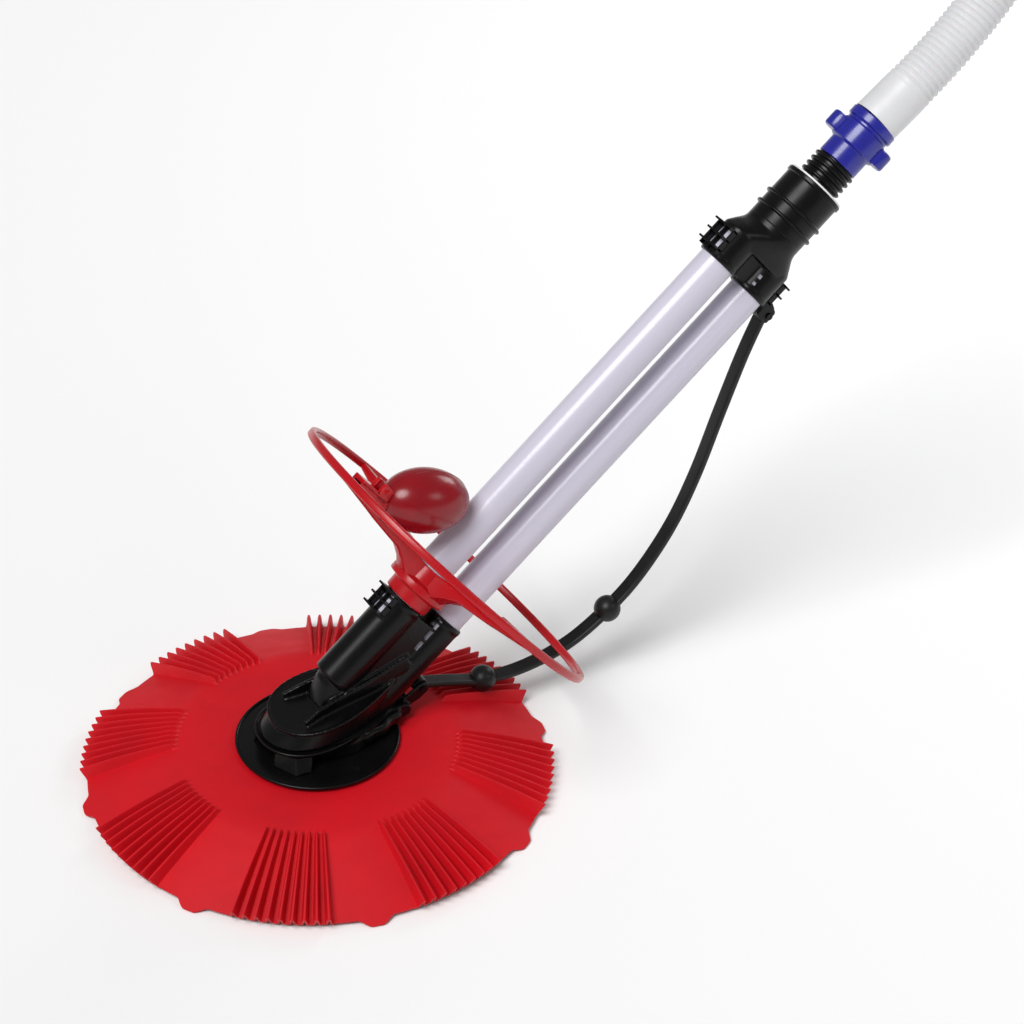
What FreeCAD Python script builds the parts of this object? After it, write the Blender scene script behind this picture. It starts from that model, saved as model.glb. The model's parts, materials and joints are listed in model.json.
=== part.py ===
"""Twin-tube suction pool cleaner: finned disc, foot, flapper head, tubes, bumper ring, float and hose.

Row frame: millimetres, +Z up, origin on the floor at the centre of the disc, +X the way the tubes lean.
Parts that lie along the tubes are drawn upright in a tube frame, whose Z runs up the tubes from the
point where their common axis crosses the disc's axis and whose X points away from the upper tube,
and are then laid over by one Placement.
"""
import FreeCAD, Part
import math
import os
import re
import Sketcher
from FreeCAD import Rotation, Vector

SIZES = [
    # the stance
    ("tube_tilt", 40.0),
    ("neck_height", 56.5),
    # tubes and their sockets
    ("tube_radius", 19.0),
    ("tube_wall", 2.0),
    ("tube_offset", 29.0),
    ("socket_wall", 2.5),
    ("upper_seat", 105.0),
    ("lower_seat", 115.0),
    ("upper_mouth", 153.0),
    ("lower_mouth", 163.0),
    ("tube_top", 633.0),
    ("fit_gap", 0.05),
    # disc and foot
    ("disc_radius", 235.0),
    ("disc_thickness", 2.4),
    ("disc_seat", 36.6),
    ("pad_radius", 70.0),
    ("neck_radius", 31.6),
    ("throat_radius", 27.0),
    ("flange_radius", 81.8),
    ("flange_top", 43.2),
    ("flange_thickness", 3.0),
    ("screw_circle", 60.0),
    ("flange_screw_circle", 36.5),
    # head casing
    ("split_height", 62.6),
    ("gasket_thickness", 0.8),
    ("casing_width", 43.0),
    ("lip_thickness", 3.0),
    ("web_width", 16.5),
    ("fin_reach", 30.0),
    ("fin_width", 13.5),
    ("fin_thickness", 2.0),
    # flapper valve
    ("pivot_rise", 18.0),
    ("pivot_radius", 2.5),
    ("flapper_radius", 68.0),
    ("flapper_swing", 20.0),
    ("chamber_width", 14.0),
    ("chamber_top", 90.0),
    # bumper ring and float
    ("ring_height", 213.2),
    ("ring_radius", 177.5),
    ("ring_band", 8.4),
    ("hub_radius", 25.0),
    ("hub_foot", 153.6),
    ("spoke_width", 11.0),
    ("float_length", 96.0),
    ("float_width", 65.0),
    ("float_wall", 2.5),
    ("float_forward", 120.0),
    ("float_height", 288.0),
    ("float_dip", 18.1),
    # adaptor, swivel and cuff
    ("adaptor_foot", 601.0),
    ("adaptor_neck", 31.0),
    ("neck_start", 656.0),
    ("neck_end", 720.5),
    ("swivel_step", 698.0),
    ("swivel_bore", 27.0),
    ("spigot_radius", 20.5),
    ("spigot_bore", 18.1),
    ("spigot_end", 751.0),
    ("ridge_radius", 23.6),
    ("ridge_pitch", 6.6),
    ("cuff_collar", 22.0),
    ("cuff_band", 25.5),
    ("cuff_upper", 26.0),
    ("cuff_end", 806.0),
    ("wing_reach", 37.0),
    ("wing_radius", 11.0),
    ("water_bore", 15.5),
    # hose
    ("hose_radius", 25.0),
    ("hose_bore", 21.0),
    ("coupler_length", 42.0),
    ("coupler_bore", 19.1),
    # bumper strap
    ("strap_width", 16.0),
    ("strap_thickness", 6.5),
    ("ball_radius", 14.0),
    ("eye_radius", 8.0),
    ("strap_pin_radius", 3.5),
]

# Hose centre line, as distance up the tubes and height above their common axis.
HOSE_ROUTE = [(806, 0), (866, -4), (926, -3), (986, 5), (1046, 20), (1106, 42), (1160, 68)]

# Bumper strap centre line in the plane of the tubes, from the adaptor down to the heel, as X and Z.
STRAP_ROUTE = [(501, 394), (481, 350), (458, 289), (433, 220), (406, 164), (370, 115),
               (334, 83), (288, 56), (236, 44), (187, 46), (148, 58), (112, 69)]
STRAP_BALLS = [(334, 83), (187, 46)]

# Screws that join the two halves of the head casing, as X and Y.
CASING_SCREWS = [("-26", "-24"), ("-26", "24"), ("30", "-27"), ("30", "27")]

UPRIGHT = Vector(0, 0, 1)
ACROSS = Vector(0, 1, 0)

doc = FreeCAD.newDocument("PoolCleaner")
sheet = doc.addObject("Spreadsheet::Sheet", "sizes")
for row, (word, number) in enumerate(SIZES, start=1):
    sheet.set(f"A{row}", word)
    sheet.set(f"B{row}", str(number))
    sheet.setAlias(f"B{row}", word)
doc.recompute()

WORDS = {word for word, _ in SIZES}
nodes = []


# ---------------------------------------------------------------- small building helpers

def size(word):
    """The sheet's value for one word, for shapes that are computed in this file."""
    return float(sheet.get(word))


def formula(text):
    """Turn plain size words into references to the sheet's cells."""
    return re.sub(r"[a-z_]+", lambda found: f"sizes.{found[0]}" if found[0] in WORDS else found[0], text)


def bind(item, **formulas):
    """Bind properties of one object to formulas; an underscore pair stands for a dot."""
    for name, text in formulas.items():
        item.setExpression(name.replace("__", "."), formula(text))
    return item


def rod(name, radius, low, high, x="0", y="0"):
    """Upright cylinder between two heights."""
    item = doc.addObject("Part::Cylinder", name)
    return bind(item, Radius=radius, Height=f"({high}) - ({low})",
                Placement__Base__x=x, Placement__Base__y=y, Placement__Base__z=low)


def cross_rod(name, radius, half_width, x, z):
    """Cylinder that lies across the machine, along Y."""
    item = doc.addObject("Part::Cylinder", name)
    item.Placement.Rotation = Rotation(Vector(1, 0, 0), -90)
    return bind(item, Radius=radius, Height=f"2 * ({half_width})", Placement__Base__x=x,
                Placement__Base__y=f"-({half_width})", Placement__Base__z=z)


def block(name, x_low, x_high, half_width, z_low, z_high):
    """Box that is centred across the machine."""
    item = doc.addObject("Part::Box", name)
    return bind(item, Length=f"({x_high}) - ({x_low})", Width=f"2 * ({half_width})",
                Height=f"({z_high}) - ({z_low})", Placement__Base__x=x_low,
                Placement__Base__y=f"-({half_width})", Placement__Base__z=z_low)


def oval(name, half_long, half_wide, x, z, tilt="0"):
    """Ellipse for a loft, long way along X, tipped about Y by an angle in degrees."""
    item = doc.addObject("Part::Ellipse", name)
    item.Placement.Rotation = Rotation(ACROSS, 1)
    return bind(item, MajorRadius=half_long, MinorRadius=half_wide, Placement__Base__x=x,
                Placement__Base__z=z, Placement__Rotation__Angle=tilt)


def loft(name, *sections):
    """Solid through closed sections."""
    item = doc.addObject("Part::Loft", name)
    item.Sections = list(sections)
    item.Solid = True
    item.Ruled = len(sections) == 2
    return item


def fuse(name, *items):
    """One solid from several."""
    item = doc.addObject("Part::MultiFuse", name)
    item.Shapes = list(items)
    return item


def cut(name, base, *tools):
    """One solid with others taken out of it."""
    item = doc.addObject("Part::Cut", name)
    item.Base = base
    item.Tool = tools[0] if len(tools) == 1 else fuse(f"{name}_tools", *tools)
    return item


def copy_of(name, shape_item, turn=0.0, move=Vector()):
    """Turned and shifted link to another solid's shape."""
    item = doc.addObject("Part::Compound", name)
    item.Links = [shape_item]
    item.Placement = FreeCAD.Placement(move, Rotation(UPRIGHT, turn))
    return item


def outline_sketch(body, name, outline, plane):
    """Closed sketch of straight edges whose corners are all bound to the sheet."""
    sketch = body.newObject("Sketcher::SketchObject", name)
    origin_plane = next(part for part in body.Origin.OriginFeatures if part.Role == plane)
    sketch.AttachmentSupport = [(origin_plane, "")]
    sketch.MapMode = "FlatFace"
    count = len(outline)
    step = 2 * math.pi / count
    spots = [Vector(50 + 9 * math.cos(k * step), 50 + 9 * math.sin(k * step), 0) for k in range(count)]
    for k in range(count):
        sketch.addGeometry(Part.LineSegment(spots[k], spots[(k + 1) % count]), False)
    for k in range(count):
        sketch.addConstraint(Sketcher.Constraint("Coincident", k, 2, (k + 1) % count, 1))
    for k, (across, up) in enumerate(outline):
        for kind, start, text in (("DistanceX", spots[k].x, across), ("DistanceY", spots[k].y, up)):
            index = sketch.addConstraint(Sketcher.Constraint(kind, -1, 1, k, 1, start))
            sketch.setExpression(f"Constraints[{index}]", formula(text))
    return sketch


def turned(name, outline):
    """Body turned about Z from corners given as radius and height."""
    body = doc.addObject("PartDesign::Body", name)
    sketch = outline_sketch(body, f"{name}_outline", outline, "XZ_Plane")
    turn = body.newObject("PartDesign::Revolution", f"{name}_turn")
    turn.Profile = (sketch, [""])
    turn.ReferenceAxis = (sketch, ["V_Axis"])
    turn.Angle = 360
    return body


def slab(name, outline, half_width):
    """Body cut from plate that stands in the XZ plane, centred across the machine."""
    body = doc.addObject("PartDesign::Body", name)
    sketch = outline_sketch(body, f"{name}_outline", outline, "XZ_Plane")
    pad = body.newObject("PartDesign::Pad", f"{name}_pad")
    pad.Profile = (sketch, [""])
    pad.Midplane = True
    bind(pad, Length=f"2 * ({half_width})")
    return body


def along_tubes(item, offset="0"):
    """Lay an upright part over along the tubes, on an axis that stands off the common one."""
    item.Placement.Rotation = Rotation(ACROSS, 1)
    return bind(item, Placement__Base__x=f"-({offset}) * sin(tube_tilt * 1 deg)",
                Placement__Base__z=f"neck_height + ({offset}) * cos(tube_tilt * 1 deg)",
                Placement__Rotation__Angle="90 - tube_tilt")


def node(label, item):
    """Give a finished sub-part its name and put it on the list to be written."""
    item.Label = label
    nodes.append(item)
    return item


def round_of(count, radius, start=0.0):
    """Evenly spaced spots on a circle about Z."""
    return [Vector(radius * math.cos(math.radians(start + 360 * k / count)),
                   radius * math.sin(math.radians(start + 360 * k / count)), 0) for k in range(count)]


def tube_point(up, out):
    """Row-frame point from a distance up the tubes and a height above their common axis."""
    tilt = math.radians(size("tube_tilt"))
    return Vector(up * math.cos(tilt) - out * math.sin(tilt), 0,
                  size("neck_height") + up * math.sin(tilt) + out * math.cos(tilt))


def rounded_path(corners, share=0.45):
    """Straight runs joined by tangent arcs, each arc as large as its two runs allow."""
    edges, radii, start = [], [], corners[0]
    for before, corner, after in zip(corners, corners[1:], corners[2:]):
        run_in, run_out = corner - before, after - corner
        into, out = Vector(run_in).normalize(), Vector(run_out).normalize()
        half_turn = into.getAngle(out) / 2
        reach = share * min(run_in.Length, run_out.Length)
        radius = reach / math.tan(half_turn)
        inward = (out - into).normalize()
        arc_start, arc_end = corner - into * reach, corner + out * reach
        middle = corner + inward * (radius / math.cos(half_turn) - radius)
        edges += [Part.LineSegment(start, arc_start), Part.Arc(arc_start, middle, arc_end)]
        radii.append(radius)
        start = arc_end
    edges.append(Part.LineSegment(start, corners[-1]))
    return Part.Wire([edge.toShape() for edge in edges]), radii


def swept(path, section):
    """Solid of one closed section carried along a path."""
    return path.makePipeShell([section], True, False)


# ---------------------------------------------------------------- disc and foot

def make_foot():
    """Everything that spins on the foot's neck: the pad, the finned disc and what clamps them."""
    spots = round_of(6, size("screw_circle"), 30)
    pad = turned("foot_pad_ring", [
        ("neck_radius + fit_gap", "16"), ("neck_radius + fit_gap", "disc_seat - disc_thickness"),
        ("pad_radius", "disc_seat - disc_thickness"), ("pad_radius", "28"), ("pad_radius - 5", "0"),
        ("pad_radius - 26", "0"), ("pad_radius - 30", "5"), ("pad_radius - 30", "16")])
    slots = [copy_of(f"intake_slot_{k}", block(f"intake_slot_stock_{k}", "38", "75", "4", "1.6", "7"), 45 * k)
             for k in range(8)]
    pad_holes = [rod(f"pad_hole_{k}", "1.8", "20", "disc_seat", str(spot.x), str(spot.y))
                 for k, spot in enumerate(spots)]
    node("foot_pad", cut("foot_pad", pad, *slots, *pad_holes))

    sheet_outline = [
        ("neck_radius + 5", "disc_seat"), ("pad_radius + 5", "disc_seat"),
        ("flange_radius + 2", "disc_seat + 3"), ("110", "disc_seat + 2.8"), ("140", "disc_seat + 0.4"),
        ("190", "20.5"), ("disc_radius", "disc_thickness"), ("disc_radius", "0"),
        ("190", "20.5 - disc_thickness"), ("140", "disc_seat + 0.4 - disc_thickness"),
        ("110", "disc_seat + 2.8 - disc_thickness"), ("flange_radius + 2", "disc_seat + 3 - disc_thickness"),
        ("pad_radius + 5.6", "disc_seat - disc_thickness"), ("neck_radius + 5", "disc_seat - disc_thickness")]
    disc_holes = [rod(f"disc_hole_{k}", "1.8", "disc_seat - 5", "disc_seat + 1", str(spot.x), str(spot.y))
                  for k, spot in enumerate(spots)]
    node("finned_disc", cut("finned_disc", turned("finned_disc_sheet", sheet_outline), *disc_holes))

    clamp = turned("disc_clamp_stock", [
        ("neck_radius + 2.4", "disc_seat"), ("pad_radius + 3", "disc_seat"),
        ("pad_radius + 2", "disc_seat + 1.8"), ("neck_radius + 2.4", "disc_seat + 1.8")])
    clamp_holes = [rod(f"clamp_hole_{k}", "3.4", "disc_seat - 1", "disc_seat + 3", str(spot.x), str(spot.y))
                   for k, spot in enumerate(spots)]
    node("disc_clamp_ring", cut("disc_clamp_ring", clamp, *clamp_holes))

    screws = []
    for k, spot in enumerate(spots):
        x, y = str(spot.x), str(spot.y)
        shank = rod(f"clamp_screw_shank_{k}", "1.8", "21", "disc_seat + 0.2", x, y)
        head = rod(f"clamp_screw_head_{k}", "3.4", "disc_seat", "disc_seat + 1.7", x, y)
        screws.append(fuse(f"clamp_screw_{k}", shank, head))
    group = doc.addObject("Part::Compound", "clamp_screws")
    group.Links = screws
    node("clamp_screws", group)

    node("wear_washer", turned("wear_washer", [
        ("neck_radius + 1", "disc_seat + 1.8"), ("46", "disc_seat + 1.8"),
        ("46", "disc_seat + 3.3"), ("neck_radius + 1", "disc_seat + 3.3")]))


def make_foot_flange():
    """Round flange and neck that the foot turns on, the clip that keeps it there, and its screws."""
    flange = turned("foot_flange_stock", [
        ("throat_radius", "9"), ("neck_radius", "9"), ("neck_radius", "12"), ("neck_radius - 2", "12"),
        ("neck_radius - 2", "14.6"), ("neck_radius", "14.6"), ("neck_radius", "flange_top - flange_thickness"),
        ("flange_radius - 2", "flange_top - flange_thickness"), ("flange_radius", "flange_top - 2"),
        ("flange_radius", "flange_top + 0.8"), ("flange_radius - 1.5", "flange_top + 1.4"),
        ("flange_radius - 3", "flange_top"), ("neck_radius", "flange_top"), ("neck_radius", "54"),
        ("throat_radius", "54")])
    spots = round_of(4, size("flange_screw_circle"))
    holes = []
    screws = []
    for k, spot in enumerate(spots):
        x, y = str(spot.x), str(spot.y)
        foot = "flange_top - flange_thickness"
        holes += [rod(f"flange_hole_{k}", "1.8", f"{foot} - 1", "flange_top + 1", x, y),
                  rod(f"flange_sink_{k}", "3.4", f"{foot} - 1", f"{foot} + 1.6", x, y)]
        screws.append(fuse(f"flange_screw_{k}", rod(f"flange_shank_{k}", "1.8", foot, "56", x, y),
                           rod(f"flange_head_{k}", "3.4", foot, f"{foot} + 1.6", x, y)))
    node("foot_flange", cut("foot_flange", flange, *holes))
    group = doc.addObject("Part::Compound", "flange_screws")
    group.Links = screws
    node("flange_screws", group)

    clip = turned("pad_clip_stock", [("neck_radius - 1.9", "12.1"), ("neck_radius + 4", "12.1"),
                                     ("neck_radius + 4", "14.5"), ("neck_radius - 1.9", "14.5")])
    node("pad_clip", cut("pad_clip", clip, block("pad_clip_gap", "20", "40", "4", "11", "16")))


# ---------------------------------------------------------------- head

def make_lower_casing():
    """Lower half of the head: the pedestal, the lower lip and the heel that holds ballast and strap."""
    top = "split_height"
    pedestal = loft("pedestal", oval("pedestal_foot", "casing_width + 3", "casing_width - 1", "2", "flange_top"),
                    oval("pedestal_top", "casing_width + 12", "casing_width + 1", "8", f"{top} - 3.6"))
    lip = loft("lower_lip", oval("lower_lip_foot", "70", "45.5", "8", f"{top} - 3.6"),
               oval("lower_lip_top", "70.5", "46", "8", top))
    heel = slab("heel", [("24", "45"), ("86", "45"), ("95", "50"), ("97", "58"), ("92", top), ("24", top)], "21")
    ears = [slab(f"heel_ear_{k}", [("88", "50"), ("108", "58"), ("119", "66"), ("118", "74"), ("110", "76"),
                                   ("88", top)], "2") for k in range(2)]
    shifted = [copy_of(f"heel_ear_side_{k}", ear, 0, Vector(0, side * 11, 0))
               for k, (ear, side) in enumerate(zip(ears, (-1, 1)))]
    body = fuse("lower_casing_stock", pedestal, lip, heel, *shifted)
    tools = [rod("neck_well", "neck_radius", "flange_top - 1", "54"),
             rod("lower_throat", "throat_radius", "50", f"{top} + 1"),
             block("ballast_pocket", "44", "86", "16", "47.5", "60"),
             cross_rod("lower_pin_hole", "strap_pin_radius", "20", "112", "69")]
    tools += [rod(f"flange_thread_{k}", "1.8", "flange_top - 1", "56", str(spot.x), str(spot.y))
              for k, spot in enumerate(round_of(4, size("flange_screw_circle")))]
    for k, (x, y) in enumerate(CASING_SCREWS):
        tools += [rod(f"casing_well_{k}", "3.4", "flange_top - 1", "54", x, y),
                  rod(f"casing_hole_{k}", "1.7", "53", f"{top} + 1", x, y)]
    node("lower_casing", cut("lower_casing", body, *tools))
    node("ballast_block", block("ballast_block", "44", "86", "16", "47.5", "60"))


def make_upper_casing():
    """Upper half of the head: the upper lip, the sloped deck and the two tube sockets."""
    low = "split_height + gasket_thickness"
    lean = "-9"
    skirt_foot = oval("skirt_foot", "casing_width + 18.5", "casing_width - 0.5", "13", low)
    skirt_top = oval("skirt_top", "casing_width + 19", "casing_width - 1", "25.5", "88.5", lean)
    lip_foot = oval("upper_lip_foot", "71", "45", "24", "87", lean)
    lip_top = oval("upper_lip_top", "71.5", "45.5", "24", "87 + lip_thickness", lean)
    cowl = slab("cowl", [("-33", "12"), ("-tube_offset - 20", "66"), ("-tube_offset - 20", "76"),
                         ("tube_offset + 20", "76"), ("tube_offset + 20", "66"), ("33", "12")], "web_width + 4")
    socket = "tube_radius + socket_wall"
    fins = [block(f"head_fin_{k}", "-tube_offset - fin_reach", "-tube_offset", "fin_width", z, f"{z} + fin_thickness")
            for k, z in enumerate(("127", "139", "150.5"))]
    sockets = along_tubes(fuse(
        "head_sockets", cowl,
        rod("upper_socket", socket, "60", "upper_mouth", "-tube_offset"),
        rod("lower_socket", socket, "60", "lower_mouth", "tube_offset"),
        block("socket_web", "-tube_offset", "tube_offset", "web_width", "62", "upper_mouth - 3"),
        block("head_fin_back", "-tube_offset - fin_reach + 4", "-tube_offset", "fin_width - 1", "128", "151.5"),
        *fins))
    body = cut("upper_casing_stock",
               fuse("upper_casing_blank", loft("skirt", skirt_foot, skirt_top), loft("upper_lip", lip_foot, lip_top),
                    sockets), block("below_split", "-200", "200", "100", "-60", low))

    chamber = slab("chamber", [("-14", "8"), ("-22", "30"), ("-40", "68"), ("-40", "chamber_top"),
                               ("40", "chamber_top"), ("40", "68"), ("22", "30"), ("14", "8")], "chamber_width")
    bore = "tube_radius"
    hollow = [chamber, cross_rod("pivot_hole", "pivot_radius", "20", "0", "pivot_rise")]
    for side, seat in (("-tube_offset", "upper_seat"), ("tube_offset", "lower_seat")):
        word = "upper" if seat == "upper_seat" else "lower"
        mouth = f"{word}_mouth"
        hollow += [rod(f"{word}_passage", "tube_radius - tube_wall", "chamber_top - 4", f"{seat} + 1", side),
                   rod(f"{word}_bore", bore, seat, f"{mouth} + 2", side),
                   rod(f"{word}_seal_groove", "tube_radius + 1.5", f"{mouth} - 8", f"{mouth} - 5", side)]
    inside = along_tubes(fuse("head_hollow", *hollow))
    threads = [rod(f"casing_thread_{k}", "1.7", f"{low} - 1", "76", x, y) for k, (x, y) in enumerate(CASING_SCREWS)]
    throat = rod("upper_throat", "throat_radius", f"{low} - 1", "76")
    node("upper_casing", cut("upper_casing", body, inside, throat, *threads))

    ring = loft("gasket_ring", oval("gasket_foot", "casing_width + 18.5", "casing_width - 0.5", "13",
                                    "split_height"),
                oval("gasket_top", "casing_width + 18.5", "casing_width - 0.5", "13", low))
    hole = loft("gasket_hole", oval("gasket_hole_foot", "casing_width - 5", "casing_width - 14", "8",
                                    "split_height - 1"),
                oval("gasket_hole_top", "casing_width - 5", "casing_width - 14", "8", f"{low} + 1"))
    holes = [rod(f"gasket_hole_{k}", "1.7", "split_height - 1", f"{low} + 1", x, y)
             for k, (x, y) in enumerate(CASING_SCREWS)]
    node("casing_gasket", cut("casing_gasket", ring, hole, *holes))

    screws = [fuse(f"casing_screw_{k}", rod(f"casing_shank_{k}", "1.7", "52", "75", x, y),
                   rod(f"casing_head_{k}", "3.3", "50.5", "54", x, y)) for k, (x, y) in enumerate(CASING_SCREWS)]
    group = doc.addObject("Part::Compound", "casing_screws")
    group.Links = screws
    node("casing_screws", group)


def make_flapper():
    """Flapper valve, its pin and its rubber seat.

    The flapper is drawn upright about its own pivot and lies over the lower passage, where its
    weight drops it; from there it swings up past the common axis to the upper passage.
    """
    radius = size("flapper_radius")
    half = math.radians(10.5)
    inner = radius - 15
    corners = [Vector(r * math.sin(a), 0, r * math.cos(a))
               for r, a in ((inner, -half), (radius, -half), (radius, half), (inner, half))]
    crown = Part.Arc(corners[1], Vector(0, 0, radius), corners[2]).toShape()
    edges = [Part.makeLine(corners[0], corners[1]), crown, Part.makeLine(corners[2], corners[3]),
             Part.makeLine(corners[3], corners[0])]
    width = size("chamber_width") - 0.6
    anvil = Part.Face(Part.Wire(edges)).extrude(Vector(0, 2 * width, 0))
    anvil.translate(Vector(0, -width, 0))
    head = doc.addObject("Part::Feature", "flapper_anvil")
    head.Shape = anvil
    stem = slab("flapper_stem", [("-4", "0"), ("-4", "flapper_radius - 14"), ("4", "flapper_radius - 14"),
                                 ("4", "0")], "chamber_width - 0.6")
    boss = cross_rod("flapper_boss", "6", "chamber_width - 0.6", "0", "0")
    bore = cross_rod("flapper_bore", "pivot_radius + fit_gap", "chamber_width + 1", "0", "0")
    flapper = cut("flapper", fuse("flapper_stock", head, stem, boss), bore)
    flapper.Placement.Rotation = Rotation(ACROSS, 1)
    bind(flapper, Placement__Base__x="pivot_rise * cos(tube_tilt * 1 deg)",
         Placement__Base__z="neck_height + pivot_rise * sin(tube_tilt * 1 deg)",
         Placement__Rotation__Angle="90 - tube_tilt + flapper_swing")
    node("flapper", flapper)
    pin = cross_rod("flapper_pin_stock", "pivot_radius", "19.8", "0", "pivot_rise")
    node("flapper_pin", along_tubes(copy_of("flapper_pin", pin)))

    plate = block("valve_seat_plate", "-39.8", "39.8", "chamber_width - 0.2", "chamber_top - 1.8", "chamber_top")
    windows = [block("upper_window", "-38", "-13", "chamber_width - 2.5", "chamber_top - 3", "chamber_top + 1"),
               block("lower_window", "13", "38", "chamber_width - 2.5", "chamber_top - 3", "chamber_top + 1")]
    node("valve_seat", along_tubes(cut("valve_seat", plate, *windows)))


# ---------------------------------------------------------------- tubes, ring and float

def make_tubes():
    """The two suction tubes and the rubber seals at both their ends."""
    seal_sets = {"head_tube_seals": [], "adaptor_tube_seals": []}
    for word, side in (("upper", "-tube_offset"), ("lower", "tube_offset")):
        seat, mouth = f"{word}_seat", f"{word}_mouth"
        tube = cut(f"{word}_tube", rod(f"{word}_tube_stock", "tube_radius", seat, "tube_top", side),
                   rod(f"{word}_tube_bore", "tube_radius - tube_wall", f"{seat} - 1", "tube_top + 1", side))
        node(f"{word}_tube", along_tubes(tube))
        for label, low in (("head_tube_seals", f"{mouth} - 8"), ("adaptor_tube_seals", "adaptor_foot + 6")):
            seal_sets[label].append(cut(
                f"{label}_{word}", rod(f"{label}_{word}_stock", "tube_radius + 1.5", low, f"{low} + 3", side),
                rod(f"{label}_{word}_hole", "tube_radius", f"{low} - 1", f"{low} + 4", side)))
    for label, seals in seal_sets.items():
        group = doc.addObject("Part::Compound", label)
        group.Links = seals
        node(label, along_tubes(group))


def make_bumper_ring():
    """Red deflector ring: a hub that slides over the upper tube, three spokes and the rim."""
    hub = turned("ring_hub", [
        ("tube_radius + fit_gap", "hub_foot"), ("hub_radius", "hub_foot"), ("hub_radius", "hub_foot + 13"),
        ("hub_radius + 8", "hub_foot + 14"), ("hub_radius + 8", "hub_foot + 23"),
        ("hub_radius + 2", "hub_foot + 25"), ("hub_radius + 2", "ring_height - 19"),
        ("tube_radius + fit_gap", "ring_height - 19")])
    rim = turned("ring_rim", [
        ("ring_radius - 2.6", "ring_height - ring_band / 2"), ("ring_radius + 1.8", "ring_height - ring_band / 2"),
        ("ring_radius + 3.4", "ring_height - ring_band / 4"), ("ring_radius + 3.4", "ring_height + ring_band / 4"),
        ("ring_radius + 1.8", "ring_height + ring_band / 2"), ("ring_radius - 2.6", "ring_height + ring_band / 2"),
        ("ring_radius - 3.6", "ring_height + ring_band / 4"), ("ring_radius - 3.6", "ring_height - ring_band / 4")])
    spokes = []
    for k, turn in enumerate((90, 180, 270)):
        spoke = slab(f"spoke_stock_{k}", [
            ("hub_radius", "hub_foot + 14"), ("hub_radius + 34", "ring_height - 24.2"),
            ("hub_radius + 80", "ring_height - 17"), ("ring_radius", "ring_height - 4"),
            ("ring_radius", "ring_height + 3"), ("hub_radius + 91", "ring_height + 1"),
            ("hub_radius + 80", "ring_height - 11.4"), ("hub_radius + 20", "ring_height - 13.2"),
            ("hub_radius", "ring_height - 19")], "spoke_width / 2")
        spokes.append(copy_of(f"spoke_{k}", spoke, turn))
    node("bumper_ring", along_tubes(fuse("bumper_ring", hub, rim, *spokes), "tube_offset"))


def make_float():
    """Hollow float in two welded halves, and the saddle and pin that hold it on the ring's spoke."""
    def egg(name, trim):
        item = doc.addObject("Part::Ellipsoid", name)
        item.Placement.Rotation = Rotation(ACROSS, 1)
        return bind(item, Radius1=f"float_width / 2 - {trim}", Radius2=f"float_length / 2 - {trim}",
                    Radius3=f"float_width / 2 - {trim}", Placement__Base__x="float_forward",
                    Placement__Base__z="float_height", Placement__Rotation__Angle="float_dip")

    lug = along_tubes(fuse("float_lug", cross_rod("lug_eye", "5.5", "3.8", "-121", "ring_height + 12"),
                           block("lug_root", "-121", "-104", "3.8", "ring_height + 8", "ring_height + 16")),
                      "tube_offset")
    pin_hole = along_tubes(copy_of("float_pin_hole", cross_rod("float_pin_bore", "2.5", "12", "-121",
                                                               "ring_height + 12")), "tube_offset")
    shell = cut("float_shell", fuse("float_blank", egg("float_egg", "0"), lug),
                egg("float_hollow", "float_wall"), pin_hole)
    for label, low, high in (("float_near_half", "-60", "0"), ("float_far_half", "0", "60")):
        half = doc.addObject("Part::Box", f"{label}_space")
        bind(half, Length="200", Width=f"({high}) - ({low})", Height="200", Placement__Base__x="float_forward - 100",
             Placement__Base__y=low, Placement__Base__z="float_height - 100")
        common = doc.addObject("Part::MultiCommon", label)
        common.Shapes = [shell, half]
        node(label, common)

    top = "ring_height + 5"
    saddle = along_tubes(cut(
        "saddle_stock", fuse("saddle_blank", block("saddle_foot", "-152", "-106", "9", "ring_height - 6", top),
                             block("saddle_bar", "-152", "-128", "9", "ring_height", "ring_height + 8"),
                             block("saddle_cheeks", "-128", "-112", "9", "ring_height", "ring_height + 19")),
        block("saddle_spoke_slot", "-160", "-90", "spoke_width / 2", "ring_height - 20", "ring_height + 3"),
        block("saddle_lug_slot", "-128", "-100", "4", top, "ring_height + 20")), "tube_offset")
    node("float_saddle", cut("float_saddle", saddle, egg("saddle_clearance", "-0.2"), pin_hole))
    pin = cross_rod("float_pin_stock", "2.5", "11", "-121", "ring_height + 12")
    node("float_pin", along_tubes(copy_of("float_pin", pin), "tube_offset"))


# ---------------------------------------------------------------- adaptor, swivel and cuff

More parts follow.
